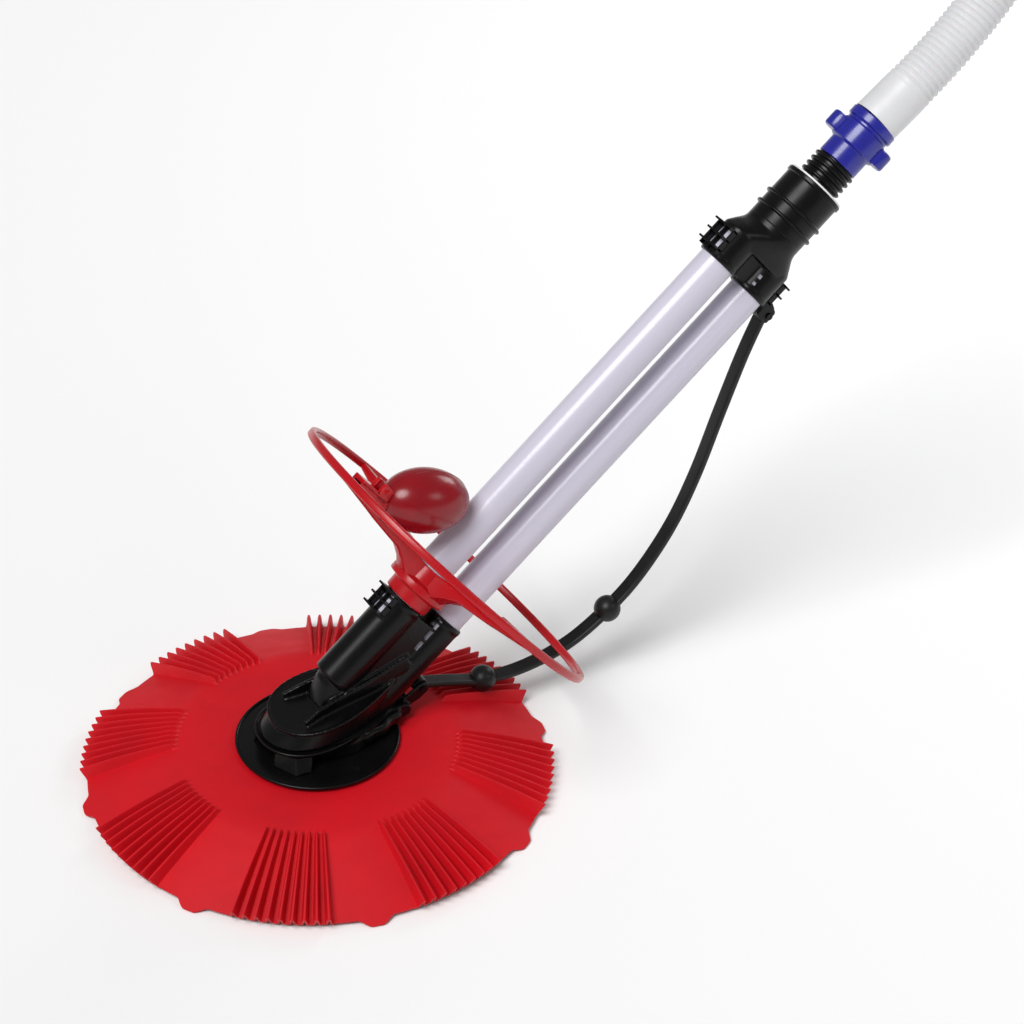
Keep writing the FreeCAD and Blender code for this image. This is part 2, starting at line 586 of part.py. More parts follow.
def make_adaptor():
    """Black adaptor that gathers both tubes into one neck, with its fins and strap ears."""
    socket = "tube_radius + socket_wall"
    foot = "adaptor_foot"
    fins = []
    for k, z in enumerate(("608", "620", "631")):
        fins += [block(f"upper_fin_{k}", "-tube_offset - fin_reach", "-tube_offset", "fin_width", z,
                       f"{z} + fin_thickness"),
                 block(f"lower_fin_{k}", "tube_offset", "tube_offset + fin_reach", "fin_width", z,
                       f"{z} + fin_thickness")]
    backs = [block("upper_fin_back", "-tube_offset - fin_reach + 4", "-tube_offset", "fin_width - 1", "603", "632"),
             block("lower_fin_back", "tube_offset", "tube_offset + fin_reach - 4", "fin_width - 1", "603", "632")]
    ears = []
    for k, side in enumerate((-1, 1)):
        ear = block(f"strap_ear_stock_{k}", "tube_offset + 20", "tube_offset + 41", "1.5", "592", "612")
        ears.append(copy_of(f"strap_ear_{k}", ear, 0, Vector(0, 10.2 * side, 0)))
    cone = doc.addObject("Part::Cone", "shoulder_cone")
    bind(cone, Radius1="tube_offset + 21", Radius2="adaptor_neck - 0.5", Height="neck_start - 630",
         Placement__Base__z="630")
    shoulder = doc.addObject("Part::MultiCommon", "shoulder")
    shoulder.Shapes = [cone, block("shoulder_sides", "-60", "60", "24", "629", "neck_start + 1")]
    stock = fuse("adaptor_stock", rod("adaptor_upper_socket", socket, foot, "636", "-tube_offset"),
                 rod("adaptor_lower_socket", socket, foot, "636", "tube_offset"),
                 block("adaptor_web", "-tube_offset", "tube_offset", "web_width", foot, "636"), shoulder,
                 rod("adaptor_neck_stock", "adaptor_neck", "neck_start - 3", "neck_end - 0.5"),
                 rod("neck_rib_low", "adaptor_neck + 3", "674.5", "676.5"),
                 rod("neck_rib_high", "adaptor_neck + 3", "688", "690"),
                 rod("neck_flange", "adaptor_neck + 1.5", "716", "neck_end"), *fins, *backs, *ears)
    funnel = doc.addObject("Part::Cone", "funnel_cone")
    bind(funnel, Radius1="44.5", Radius2="23.5", Height="neck_start - 634", Placement__Base__z="634")
    chest = doc.addObject("Part::MultiCommon", "shoulder_hollow")
    chest.Shapes = [funnel, block("hollow_sides", "-60", "60", "18", "633", "neck_start + 1")]
    hollow = [chest,
              rod("neck_bore", "23", "neck_start - 3", "swivel_step + 1"),
              rod("swivel_bore_space", "swivel_bore", "swivel_step", "neck_end + 1"),
              cross_rod("upper_pin_hole", "strap_pin_radius", "14", "tube_offset + 35", "600")]
    for word, side in (("upper", "-tube_offset"), ("lower", "tube_offset")):
        hollow += [rod(f"adaptor_{word}_bore", "tube_radius", f"{foot} - 1", "tube_top", side),
                   rod(f"adaptor_{word}_groove", "tube_radius + 1.5", f"{foot} + 6", f"{foot} + 9", side),
                   rod(f"adaptor_{word}_passage", "16", "tube_top - 1", "640", side)]
    node("tube_adaptor", along_tubes(cut("tube_adaptor", stock, *hollow)))


def make_swivel():
    """White retaining ring, washer, seal and ribbed spigot that let the hose turn on the neck."""
    node("neck_ring", along_tubes(turned("neck_ring", [
        ("spigot_radius + 0.08", "neck_end"), ("adaptor_neck + 1.5", "neck_end"),
        ("adaptor_neck + 1.2", "neck_end + 2.6"), ("spigot_radius + 0.08", "neck_end + 2.6")])))
    node("swivel_bush", along_tubes(turned("swivel_bush", [
        ("spigot_radius + 4.6", "706"), ("swivel_bore", "706"), ("swivel_bore", "neck_end"),
        ("spigot_radius + 4.6", "neck_end")])))
    node("swivel_washer", along_tubes(turned("swivel_washer", [
        ("spigot_radius + 1", "swivel_step"), ("swivel_bore", "swivel_step"),
        ("swivel_bore", "swivel_step + 1.6"), ("spigot_radius + 1", "swivel_step + 1.6")])))
    seal = doc.addObject("Part::Torus", "seal_ring")
    bind(seal, Radius1="spigot_radius + 2.35", Radius2="2.25", Placement__Base__z="711")
    group = doc.addObject("Part::Compound", "swivel_seal")
    group.Links = [seal]
    node("swivel_seal", along_tubes(group))

    outline = [("spigot_bore", "swivel_step + 2"), ("swivel_bore - 0.4", "swivel_step + 2"),
               ("swivel_bore - 0.4", "705"), ("spigot_radius", "705")]
    for k in range(4):
        low = f"727 + {k} * ridge_pitch"
        outline += [("spigot_radius", low), ("ridge_radius", f"{low} + 0.8"),
                    ("ridge_radius", f"{low} + 2.2"), ("spigot_radius", f"{low} + 3")]
    outline += [("spigot_radius", "spigot_end"), ("spigot_bore", "spigot_end")]
    node("ribbed_spigot", along_tubes(turned("ribbed_spigot", outline)))

    body = turned("winged_cuff_stock", [
        ("water_bore", "724"), ("spigot_bore - 0.1", "724"), ("spigot_bore - 0.1", "730"),
        ("spigot_bore - 1.4", "730"), ("spigot_bore - 1.4", "733"), ("spigot_bore - 0.1", "733"),
        ("spigot_bore - 0.1", "spigot_end + 0.3"), ("cuff_collar", "spigot_end + 0.3"), ("cuff_collar", "771"),
        ("cuff_band", "772"), ("cuff_band", "793"), ("cuff_upper - 0.6", "794"), ("cuff_upper", "cuff_end - 1"),
        ("cuff_upper", "cuff_end"), ("tube_radius", "cuff_end"), ("tube_radius", "cuff_end + 36"),
        ("water_bore + 0.5", "cuff_end + 36")])
    wings = [rod(f"wing_tip_{k}", "wing_radius", "773", "791", f"{sign}(wing_reach - wing_radius)")
             for k, sign in enumerate(("-", ""))]
    plate = block("wing_plate", "-(wing_reach - wing_radius)", "wing_reach - wing_radius", "wing_radius",
                  "773", "791")
    bore = rod("wing_bore", "cuff_collar - 2", "770", "795")
    lugs = copy_of("wing_lugs", cut("wing_stock", fuse("wing_blank", plate, *wings), bore), 135)
    node("winged_cuff", along_tubes(fuse("winged_cuff", body, lugs)))
    node("cuff_seal", along_tubes(turned("cuff_seal", [
        ("spigot_bore - 1.4", "730"), ("spigot_bore - 0.04", "730"), ("spigot_bore - 0.04", "733"),
        ("spigot_bore - 1.4", "733")])))


def make_hose():
    """Leader hose on its own smooth route, and the coupler in its far end."""
    corners = [tube_point(up, out) for up, out in HOSE_ROUTE]
    path, radii = rounded_path(corners)
    print("hose bend radii, mm:", ", ".join(f"{radius:.0f}" for radius in radii))
    heading = (corners[1] - corners[0]).normalize()
    walls = [swept(path, Part.Wire(Part.makeCircle(size(word), corners[0], heading)))
             for word in ("hose_radius", "hose_bore")]
    area = math.pi * (size("hose_radius") ** 2 - size("hose_bore") ** 2)
    hose = walls[0].cut(walls[1])
    print(f"hose: {path.Length:.0f} mm long, volume {hose.Volume:.0f}, section x length {area * path.Length:.0f}")
    item = doc.addObject("Part::Feature", "hose")
    item.Shape = hose
    node("hose", item)

    end = (corners[-1] - corners[-2]).normalize()
    coupler = turned("hose_coupler", [
        ("coupler_bore", "0"), ("hose_radius + 0.6", "0"), ("hose_radius + 0.6", "coupler_length"),
        ("coupler_bore", "coupler_length")])
    coupler.Placement = FreeCAD.Placement(corners[-1], Rotation(UPRIGHT, end))
    node("hose_coupler", coupler)


def make_strap():
    """Rubber bumper strap with its two balls and end eyes, and the pins that hold it."""
    corners = [Vector(x, 0, z) for x, z in STRAP_ROUTE]
    path, _ = rounded_path(corners)
    heading = (corners[1] - corners[0]).normalize()
    width, thick = size("strap_width") / 2, size("strap_thickness") / 2
    inward = heading.cross(ACROSS)
    section = Part.makePolygon([corners[0] + inward * thick * u + ACROSS * width * v
                                for u, v in ((-1, -1), (1, -1), (1, 1), (-1, 1), (-1, -1))])
    band = swept(path, section)
    eyes = [Part.makeCylinder(size("eye_radius"), 2 * width, Vector(spot.x, -width, spot.z), ACROSS)
            for spot in (tube_point(600, -64), Vector(112, 0, 69))]
    balls = [Part.makeSphere(size("ball_radius"), Vector(x, 0, z)) for x, z in STRAP_BALLS]
    holes = [Part.makeCylinder(size("strap_pin_radius"), 40, Vector(spot.x, -20, spot.z), ACROSS)
             for spot in (tube_point(600, -64), Vector(112, 0, 69))]
    item = doc.addObject("Part::Feature", "bumper_strap")
    item.Shape = band.multiFuse(eyes + balls).cut(Part.makeCompound(holes))
    node("bumper_strap", item)
    node("lower_strap_pin", cross_rod("lower_strap_pin", "strap_pin_radius", "15", "112", "69"))
    pin = cross_rod("upper_strap_pin_stock", "strap_pin_radius", "13.5", "tube_offset + 35", "600")
    node("upper_strap_pin", along_tubes(copy_of("upper_strap_pin", pin)))


# ---------------------------------------------------------------- build, check and write

for make in (make_foot, make_foot_flange, make_lower_casing, make_upper_casing, make_flapper, make_tubes,
             make_bumper_ring, make_float, make_adaptor, make_swivel, make_hose, make_strap):
    make()
doc.recompute()

for item in doc.Objects:
    if {"Invalid", "Error"} & set(item.State):
        raise SystemExit(f"{item.Label} is {item.State}")
for item in nodes:
    if item.Shape.isNull() or not item.Shape.isValid() or not item.Shape.Solids:
        raise SystemExit(f"{item.Label} has no valid shape")

os.makedirs("parts", exist_ok=True)
for item in nodes:
    item.Shape.exportStep(f"parts/{item.Label}.step")
    box = item.Shape.optimalBoundingBox()
    print(f"{item.Label:20s} {len(item.Shape.Solids)} solid(s) {item.Shape.Volume / 1000:9.2f} cm3   "
          f"x {box.XMin:7.1f} {box.XMax:7.1f}  y {box.YMin:7.1f} {box.YMax:7.1f}  z {box.ZMin:7.1f} {box.ZMax:7.1f}")
print(len(nodes), "nodes written")
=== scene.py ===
"""Looks of a twin-tube suction pool cleaner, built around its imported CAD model.

Shapes are drawn in millimetres, upright in the frame of the row or of the tubes, and become metres
when a piece's mesh is made. The tube frame has Z up the tubes and X away from the upper tube.
"""

import json
import logging
import math
from collections.abc import Callable, Sequence
from dataclasses import dataclass
from enum import Enum

import bmesh
import bpy
from mathutils import Matrix, Vector


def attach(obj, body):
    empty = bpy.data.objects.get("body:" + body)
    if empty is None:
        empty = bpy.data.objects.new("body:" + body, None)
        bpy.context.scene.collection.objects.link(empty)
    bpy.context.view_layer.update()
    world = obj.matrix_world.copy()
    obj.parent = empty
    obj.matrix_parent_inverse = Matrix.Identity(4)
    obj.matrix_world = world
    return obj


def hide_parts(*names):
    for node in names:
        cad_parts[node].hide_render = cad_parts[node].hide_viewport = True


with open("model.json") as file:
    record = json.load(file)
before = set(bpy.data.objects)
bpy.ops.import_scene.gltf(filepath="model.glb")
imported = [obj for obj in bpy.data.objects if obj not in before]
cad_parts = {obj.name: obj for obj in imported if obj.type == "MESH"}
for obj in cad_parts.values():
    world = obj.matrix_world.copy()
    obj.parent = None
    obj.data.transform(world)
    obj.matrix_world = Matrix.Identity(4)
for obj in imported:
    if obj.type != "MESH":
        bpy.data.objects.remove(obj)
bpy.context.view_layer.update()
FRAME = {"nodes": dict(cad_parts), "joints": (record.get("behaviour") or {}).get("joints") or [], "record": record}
MM = 0.001
LOG = logging.getLogger("pool_cleaner")


class Body(Enum):
    """Bodies that a piece can ride on."""

    HEAD = "head"
    FOOT = "foot"
    FLAPPER = "flapper"
    SWIVEL = "swivel"
    CUFF = "cuff"


class Slot(Enum):
    """Material slots of the record."""

    BLACK_PLASTIC = "black_plastic"
    BLACK_RUBBER = "black_rubber"
    RED_VINYL = "red_vinyl"
    RED_PLASTIC = "red_plastic"
    GREY_TUBE = "grey_tube"
    WHITE_PLASTIC = "white_plastic"
    BLUE_PLASTIC = "blue_plastic"
    WHITE_HOSE = "white_hose"
    STEEL = "steel"
    IRON = "ballast_iron"


# ---------------------------------------------------------------- finishes

def linear(hex_colour: str) -> tuple[float, float, float, float]:
    """Turn an sRGB hex colour into Blender's linear values.

    Args:
        hex_colour: six hex digits.

    Returns:
        Red, green, blue and an alpha of 1.
    """
    parts = [int(hex_colour[k:k + 2], 16) / 255 for k in (0, 2, 4)]
    red, green, blue = [part / 12.92 if part <= 0.04045 else ((part + 0.055) / 1.055) ** 2.4
                        for part in parts]
    return red, green, blue, 1.0


def add(tree: bpy.types.NodeTree, kind: str, *links: object, **settings: object) -> bpy.types.Node:
    """Add one node with its settings, and fill its inputs in order.

    Args:
        tree: the tree that takes the node.
        kind: the node's type name.
        links: a value, a socket, or a node whose first output is used; None leaves an input alone.
        settings: attributes of the node; a name that starts with "in_" sets the input of that name.

    Returns:
        The new node.
    """
    made = tree.nodes.new(kind)
    named = {key[3:].replace("_", " "): settings.pop(key) for key in list(settings) if key.startswith("in_")}
    for key, value in settings.items():
        setattr(made, key, value)
    sockets = [(made.inputs[k], value) for k, value in enumerate(links) if value is not None]
    sockets += [(next(entry for entry in made.inputs if entry.name.lower() == name.lower()), value)
                for name, value in named.items()]
    for socket, value in sockets:
        if isinstance(value, bpy.types.Node):
            value = value.outputs[0]
        if isinstance(value, bpy.types.NodeSocket):
            tree.links.new(value, socket)
        else:
            socket.default_value = value
    return made


CLOUD_SPAN = (0.38, 0.72)
GLOSS_SPAN = (0.3, 0.7)
SCUFF_SPAN = (0.6, 0.75)
SCUFF_MM = 16.0
COAT_ROUGHNESS = 0.08
SOFT_DEPTH_MM = 2.0


@dataclass(frozen=True)
class Finish:
    """A real surface: its colour, gloss and the marks its making and use leave.

    Attributes:
        name: what the material is and how it was made.
        colour: main colour as sRGB hex.
        shade: second colour that clouds into the first.
        mottle_mm: size of the clouds of the second colour.
        mottle_share: how much of the second colour shows at most.
        grain_mm: size of the surface grain that the light catches.
        grain_depth_mm: depth of that grain.
        roughness: lowest and highest roughness.
        stretch: how much longer the grain is along the piece's own axis.
        lean_deg: turn about Y that lays the grain's long way along the piece.
        ior: refractive index.
        metallic: 1 for bare metal.
        coat: share of a clear gloss over the surface.
        scuff_share: share of pale handling marks.
        scuff_colour: colour of those marks.
        soft: subsurface share, for plastics that let light in.
        gloss: specular level, 0.5 for the index as it stands.
    """

    name: str
    colour: str
    shade: str
    mottle_mm: float
    mottle_share: float
    grain_mm: float
    grain_depth_mm: float
    roughness: tuple[float, float]
    stretch: float = 1.0
    lean_deg: float = 0.0
    ior: float = 1.5
    metallic: float = 0.0
    coat: float = 0.0
    scuff_share: float = 0.0
    scuff_colour: str = "8A8A8E"
    soft: float = 0.0
    gloss: float = 0.5

    def build(self) -> bpy.types.Material:
        """Make the material.

        Returns:
            The new material, or the one already made under this name.
        """
        if self.name in bpy.data.materials:
            return bpy.data.materials[self.name]
        material = bpy.data.materials.new(self.name)
        material.use_nodes = True
        tree = material.node_tree
        tree.nodes.clear()
        place = add(tree, "ShaderNodeTexCoord").outputs["Object"]
        laid = add(tree, "ShaderNodeMapping", place, vector_type="TEXTURE",
                   in_rotation=(0.0, math.radians(self.lean_deg), 0.0), in_scale=(1.0, 1.0, self.stretch))
        clouds = add(tree, "ShaderNodeTexNoise", laid, in_scale=1 / (self.mottle_mm * MM), in_detail=5.0,
                     in_roughness=0.6)
        share = add(tree, "ShaderNodeMapRange", clouds, *CLOUD_SPAN, 0.0, self.mottle_share)
        colour = add(tree, "ShaderNodeMix", data_type="RGBA")
        tree.links.new(share.outputs[0], colour.inputs["Factor"])
        colour.inputs[6].default_value = linear(self.colour)
        colour.inputs[7].default_value = linear(self.shade)
        skin = colour.outputs[2]
        if self.scuff_share:
            skin = self.scuffed(tree, laid, skin)
        grain = add(tree, "ShaderNodeTexNoise", laid, in_scale=1 / (self.grain_mm * MM), in_detail=3.0)
        gloss = add(tree, "ShaderNodeMapRange", clouds, *GLOSS_SPAN, *self.roughness)
        bump = add(tree, "ShaderNodeBump", in_strength=1.0, in_distance=self.grain_depth_mm * MM,
                   in_height=grain)
        shader = add(tree, "ShaderNodeBsdfPrincipled", in_base_color=skin, in_roughness=gloss, in_normal=bump,
                     in_metallic=self.metallic, in_ior=self.ior, in_coat_weight=self.coat,
                     in_coat_roughness=COAT_ROUGHNESS)
        shader.inputs["Specular IOR Level"].default_value = self.gloss
        if self.soft:
            shader.inputs["Subsurface Weight"].default_value = self.soft
            shader.inputs["Subsurface Scale"].default_value = SOFT_DEPTH_MM * MM
        add(tree, "ShaderNodeOutputMaterial", shader)
        return material

    def scuffed(self, tree: bpy.types.NodeTree, laid: bpy.types.Node,
                skin: bpy.types.NodeSocket) -> bpy.types.NodeSocket:
        """Lay fine pale handling marks over the colour.

        Args:
            tree: the material's tree.
            laid: the mapped coordinates.
            skin: the colour so far.

        Returns:
            The colour with its marks.
        """
        streaks = add(tree, "ShaderNodeMapping", laid, in_rotation=(0.4, 0.7, 0.3), in_scale=(1.0, 1.0, 9.0))
        marks = add(tree, "ShaderNodeTexNoise", streaks, in_scale=1 / (SCUFF_MM * MM), in_detail=8.0,
                    in_roughness=0.75)
        thin = add(tree, "ShaderNodeMapRange", marks, *SCUFF_SPAN, 0.0, self.scuff_share)
        mixed = add(tree, "ShaderNodeMix", data_type="RGBA")
        tree.links.new(thin.outputs[0], mixed.inputs["Factor"])
        tree.links.new(skin, mixed.inputs[6])
        mixed.inputs[7].default_value = linear(self.scuff_colour)
        return mixed.outputs[2]


GRAIN_LEAN_DEG = 50.0  # lays the draw lines of the pipes along them

# Injection-moulded ABS: deep black with a polished-tool gloss that breaks up highlights only a little.
BLACK_ABS = Finish("Moulded black ABS", "070708", "0C0C0E", 35, 0.6, 1.6, 0.02, (0.24, 0.34), gloss=0.22,
                   scuff_share=0.03)
# Moulded nitrile rubber: duller, with a fine matt grain from the mould.
BLACK_RUBBER = Finish("Moulded nitrile rubber", "0C0D0D", "1B1C1B", 25, 0.7, 0.9, 0.03, (0.34, 0.46),
                      gloss=0.35, scuff_share=0.05)
# Flexible PVC sheet: satin red that clouds a little where it has been handled.
RED_VINYL = Finish("Flexible PVC sheet", "CE0B1B", "B60817", 60, 0.55, 0.9, 0.03, (0.5, 0.62), soft=0.03,
                   gloss=0.3, scuff_share=0.05, scuff_colour="D8505A")
# Moulded polypropylene: a clean, glossy red with soft highlights.
RED_POLYPROPYLENE = Finish("Moulded red polypropylene", "B80A16", "960612", 45, 0.4, 1.4, 0.015, (0.22, 0.32),
                           gloss=0.4, soft=0.03)
# Blow-moulded polyethylene: the float's darker, wine-red shell with a soft gloss.
RED_POLYETHYLENE = Finish("Blow-moulded red polyethylene", "8E0716", "74040F", 30, 0.5, 1.8, 0.03,
                          (0.18, 0.28), gloss=0.45, soft=0.03)
# Extruded rigid PVC pipe: pale lilac grey, with faint draw lines along its length.
GREY_PVC = Finish("Extruded grey PVC pipe", "CFCBDA", "C0BBCC", 20, 0.5, 1.2, 0.01, (0.24, 0.34),
                  stretch=30.0, lean_deg=GRAIN_LEAN_DEG, coat=0.2)
# Turned acetal: clean white, slightly waxy.
WHITE_ACETAL = Finish("Moulded white acetal", "F1F1F0", "E2E2E2", 20, 0.4, 1.0, 0.01, (0.28, 0.38), soft=0.08)
# Moulded EVA cuff: strong blue with the waxy gloss of soft plastic.
BLUE_EVA = Finish("Moulded blue EVA", "1D2094", "161876", 18, 0.6, 1.1, 0.015, (0.22, 0.34), coat=0.2,
                  soft=0.04)
# Blown EVA hose: bright white, satin.
WHITE_EVA = Finish("Blown white EVA hose", "DCDCDE", "D0D1D4", 30, 0.5, 0.8, 0.015, (0.36, 0.48), soft=0.1)
# Turned stainless steel: fine tool marks round the piece.
STAINLESS = Finish("Turned stainless steel", "C9CACC", "A9ABAE", 4, 0.6, 0.3, 0.01, (0.22, 0.36),
                   metallic=1.0)
# Sand-cast iron: dark and coarse.
CAST_IRON = Finish("Sand-cast iron", "3B3A39", "55514C", 6, 0.8, 1.2, 0.15, (0.6, 0.8), metallic=0.8)

FINISHES = {Slot.BLACK_PLASTIC: BLACK_ABS, Slot.BLACK_RUBBER: BLACK_RUBBER, Slot.RED_VINYL: RED_VINYL,
            Slot.RED_PLASTIC: RED_POLYPROPYLENE, Slot.GREY_TUBE: GREY_PVC, Slot.WHITE_PLASTIC: WHITE_ACETAL,
            Slot.BLUE_PLASTIC: BLUE_EVA, Slot.WHITE_HOSE: WHITE_EVA, Slot.STEEL: STAINLESS,
            Slot.IRON: CAST_IRON}


# ---------------------------------------------------------------- drawing

Flat = tuple[float, float]
Spot = tuple[float, float, float]


def span(side: int, near: float, far: float) -> Flat:
    """Low and high limits of a reach on one side of a middle plane."""
    low, high = sorted((side * near, side * far))
    return low, high


def circle(count: int) -> list[Flat]:
    """Cosine and sine round one full turn."""
    return [(math.cos(2 * math.pi * k / count), math.sin(2 * math.pi * k / count)) for k in range(count)]


def squared(half_long: float, half_wide: float, square: float, up: float, shift: float = 0.0) -> list[Spot]:
    """Level ring with a form between a rectangle and an oval.

    Args:
        half_long: half its length along X.
        half_wide: half its width along Y.
        square: 1 for an oval, less for squarer corners.
        up: its height.
        shift: X of its middle.

    Returns:
        The ring's points.
    """
    return [(shift + half_long * math.copysign(abs(c) ** square, c),
             half_wide * math.copysign(abs(s) ** square, s), up) for c, s in circle(96)]


NEARLY_STRAIGHT_DEG = 85.0


def softened(outline: Sequence[Flat], radius: float, steps: int = 4) -> list[Flat]:
    """Round the corners of a closed outline.

    Args:
        outline: corners in order.
        radius: wanted radius, cut down where an edge is too short for it.
        steps: points that each rounded corner gets, less one.

    Returns:
        The outline with an arc at each corner.
    """
    rounded: list[Flat] = []
    count = len(outline)
    for k in range(count):
        before, corner, after = (Vector(outline[(k + j) % count]) for j in (-1, 0, 1))
        to_before, to_after = before - corner, after - corner
        half = to_before.angle(to_after) / 2
        if half > math.radians(NEARLY_STRAIGHT_DEG):
            rounded.append(tuple(corner))
            continue
        reach = min(radius / math.tan(half), 0.45 * to_before.length, 0.45 * to_after.length)
        start, end = corner + to_before.normalized() * reach, corner + to_after.normalized() * reach
        for step in range(steps + 1):
            share = step / steps
            rounded.append(tuple((1 - share) ** 2 * start + 2 * share * (1 - share) * corner
                                 + share ** 2 * end))
    return rounded


def egg(centre: float, half_long: float, half_wide: float, narrowing: float, inset: float = 0.0,
        count: int = 96) -> list[Flat]:
    """Egg outline in plan, wide towards -X and narrow towards +X.

    Args:
        centre: X of the middle.
        half_long: half its length.
        half_wide: half its width at the middle.
        narrowing: share by which the back narrows and the front widens.
        inset: distance that the outline is drawn in.
        count: number of points.

    Returns:
        X and Y of each point.
    """
    along, wide = half_long - inset, half_wide - inset
    return [(centre + along * c, wide * s * (1 - narrowing * c)) for c, s in circle(count)]


POLE = 1e-4
DOUBLES_M = 1e-6


class Shape:
    """Closed skins gathered into one mesh, drawn in millimetres in the frame of its current place."""

    def __init__(self, place: Matrix | None = None) -> None:
        """Start empty.

        Args:
            place: matrix from the drawing's frame to the row's, both in millimetres.
        """
        self.place = place or Matrix()
        self.points: list[Vector] = []
        self.faces: list[tuple[int, ...]] = []

    def skin(self, rings: Sequence[Sequence[Sequence[float]]], loop: bool = False) -> "Shape":
        """Join rings of equal length, and close the ends unless the last meets the first.

        Args:
            rings: points of each ring, in order.
            loop: whether the last ring joins the first.

        Returns:
            The shape itself.
        """
        first, count = len(self.points), len(rings[0])
        for ring in rings:
            self.points += [self.place @ Vector(point) for point in ring]
        for j in range(len(rings) if loop else len(rings) - 1):
            low, high = first + j * count, first + (j + 1) % len(rings) * count
            for k in range(count):
                after = (k + 1) % count
                self.faces.append((low + k, low + after, high + after, high + k))
        if not loop:
            top = first + (len(rings) - 1) * count
            self.faces.append(tuple(first + k for k in reversed(range(count))))
            self.faces.append(tuple(top + k for k in range(count)))
        return self

    def lathe(self, outline: Sequence[Flat], count: int = 96, centre: Flat = (0.0, 0.0)) -> "Shape":
        """Turn a closed outline about an upright axis.

        Args:
            outline: radius and height of each corner.
            count: points round the turn.
            centre: X and Y of the axis.

        Returns:
            The shape itself.
        """
        spots = circle(count)
        rings = [[(centre[0] + radius * c, centre[1] + radius * s, height) for c, s in spots]
                 for radius, height in outline]
        return self.skin(rings, loop=True)

    def rod(self, radius: float, low: float, high: float, centre: Flat = (0.0, 0.0), edge: float = 0.5,
            count: int = 64) -> "Shape":
        """Upright solid rod with eased edges.

        Args:
            radius: its radius.
            low: height of its foot.
            high: height of its top.
            centre: X and Y of its axis.
            edge: width of the eased edges.
            count: points round it.

        Returns:
            The shape itself.
        """
        steps = [(radius - edge, low), (radius, low + edge), (radius, high - edge), (radius - edge, high)]
        spots = circle(count)
        return self.skin([[(centre[0] + r * c, centre[1] + r * s, z) for c, s in spots] for r, z in steps])

    def prism(self, outline: Sequence[Flat], low: float, high: float) -> "Shape":
        """Plate with an outline in X and Z, between two widths along Y."""
        return self.skin([[(x, y, z) for x, z in outline] for y in (low, high)])

    def block(self, x: Flat, y: Flat, z: Flat) -> "Shape":
        """Box between low and high limits."""
        return self.prism([(x[0], z[0]), (x[1], z[0]), (x[1], z[1]), (x[0], z[1])], *y)

    def ball(self, centre: Sequence[float], radius: float, rows: int = 24, count: int = 48) -> "Shape":
        """Sphere, with closed poles.

        Args:
            centre: its middle.
            radius: its radius.
            rows: steps from pole to pole.
            count: points round it.

        Returns:
            The shape itself.
        """
        spots = circle(count)
        rings = []
        for row in range(rows + 1):
            turn = math.pi * row / rows
            flat = max(radius * math.sin(turn), POLE)
            rings.append([(centre[0] + flat * c, centre[1] + flat * s, centre[2] - radius * math.cos(turn))
                          for c, s in spots])
        return self.skin(rings)

    def mesh(self, name: str) -> bpy.types.Mesh:
        """Make the mesh in metres, with its doubles merged and its faces outwards.

        Args:
            name: the mesh's name.

        Returns:
            The mesh.
        """
        mesh = bpy.data.meshes.new(name)
        mesh.from_pydata([point * MM for point in self.points], [], self.faces)
        tidy = bmesh.new()
        tidy.from_mesh(mesh)
        bmesh.ops.remove_doubles(tidy, verts=tidy.verts, dist=DOUBLES_M)
        bmesh.ops.recalc_face_normals(tidy, faces=tidy.faces)
        tidy.to_mesh(mesh)
        tidy.free()
        return mesh


def smooth(mesh: bpy.types.Mesh, angle_deg: float = 32.0) -> None:
    """Shade a mesh smooth, except across sharp edges.

    Args:
        mesh: the mesh to shade.
        angle_deg: angle between two faces from which their edge is sharp.
    """
    work = bmesh.new()
    work.from_mesh(mesh)
    for face in work.faces:
        face.smooth = True
    for edge in work.edges:
        if len(edge.link_faces) == 2:
            edge.smooth = edge.calc_face_angle() < math.radians(angle_deg)
    work.to_mesh(mesh)
    work.free()


def place_in_scene(name: str, mesh: bpy.types.Mesh) -> bpy.types.Object:
    """Put a mesh in the scene.

    Args:
        name: the object's name.
        mesh: its mesh, in the row's frame.

    Returns:
        The object.
    """
    item = bpy.data.objects.new(name, mesh)
    bpy.context.scene.collection.objects.link(item)
    return item


def settle(item: bpy.types.Object) -> bpy.types.Object:
    """Apply every modifier of an object to a plain mesh of its own.

    Args:
        item: the object with its modifiers.

    Returns:
        The same object, with none.
    """
    bpy.context.view_layer.update()
    graph = bpy.context.evaluated_depsgraph_get()
    result = bpy.data.meshes.new_from_object(item.evaluated_get(graph))
    item.modifiers.clear()
    item.data = result
    return item


def piece(name: str, shape: Shape, slot: Slot, body: Body, replaces: Sequence[str] = (), edge_mm: float = 0.0,
          finish: Finish | None = None) -> bpy.types.Object:
    """Finish a drawn piece: mesh, eased edges, its slot's material, its body, and hiding the CAD nodes it stands
    for.

    Args:
        name: the piece's name.
        shape: what was drawn.
        slot: the record's material slot.
        body: the body it rides on.
        replaces: CAD nodes that it stands for.
        edge_mm: width of the eased edges, or 0 for none.
        finish: a finish other than the slot's own.

    Returns:
        The object.
    """
    item = place_in_scene(name, shape.mesh(name))
    if edge_mm:
        ease = item.modifiers.new("eased_edges", "BEVEL")
        ease.width = edge_mm * MM
        ease.segments = 3
        ease.angle_limit = math.radians(35)
        settle(item)
    return dressed(item, slot, body, replaces, finish)


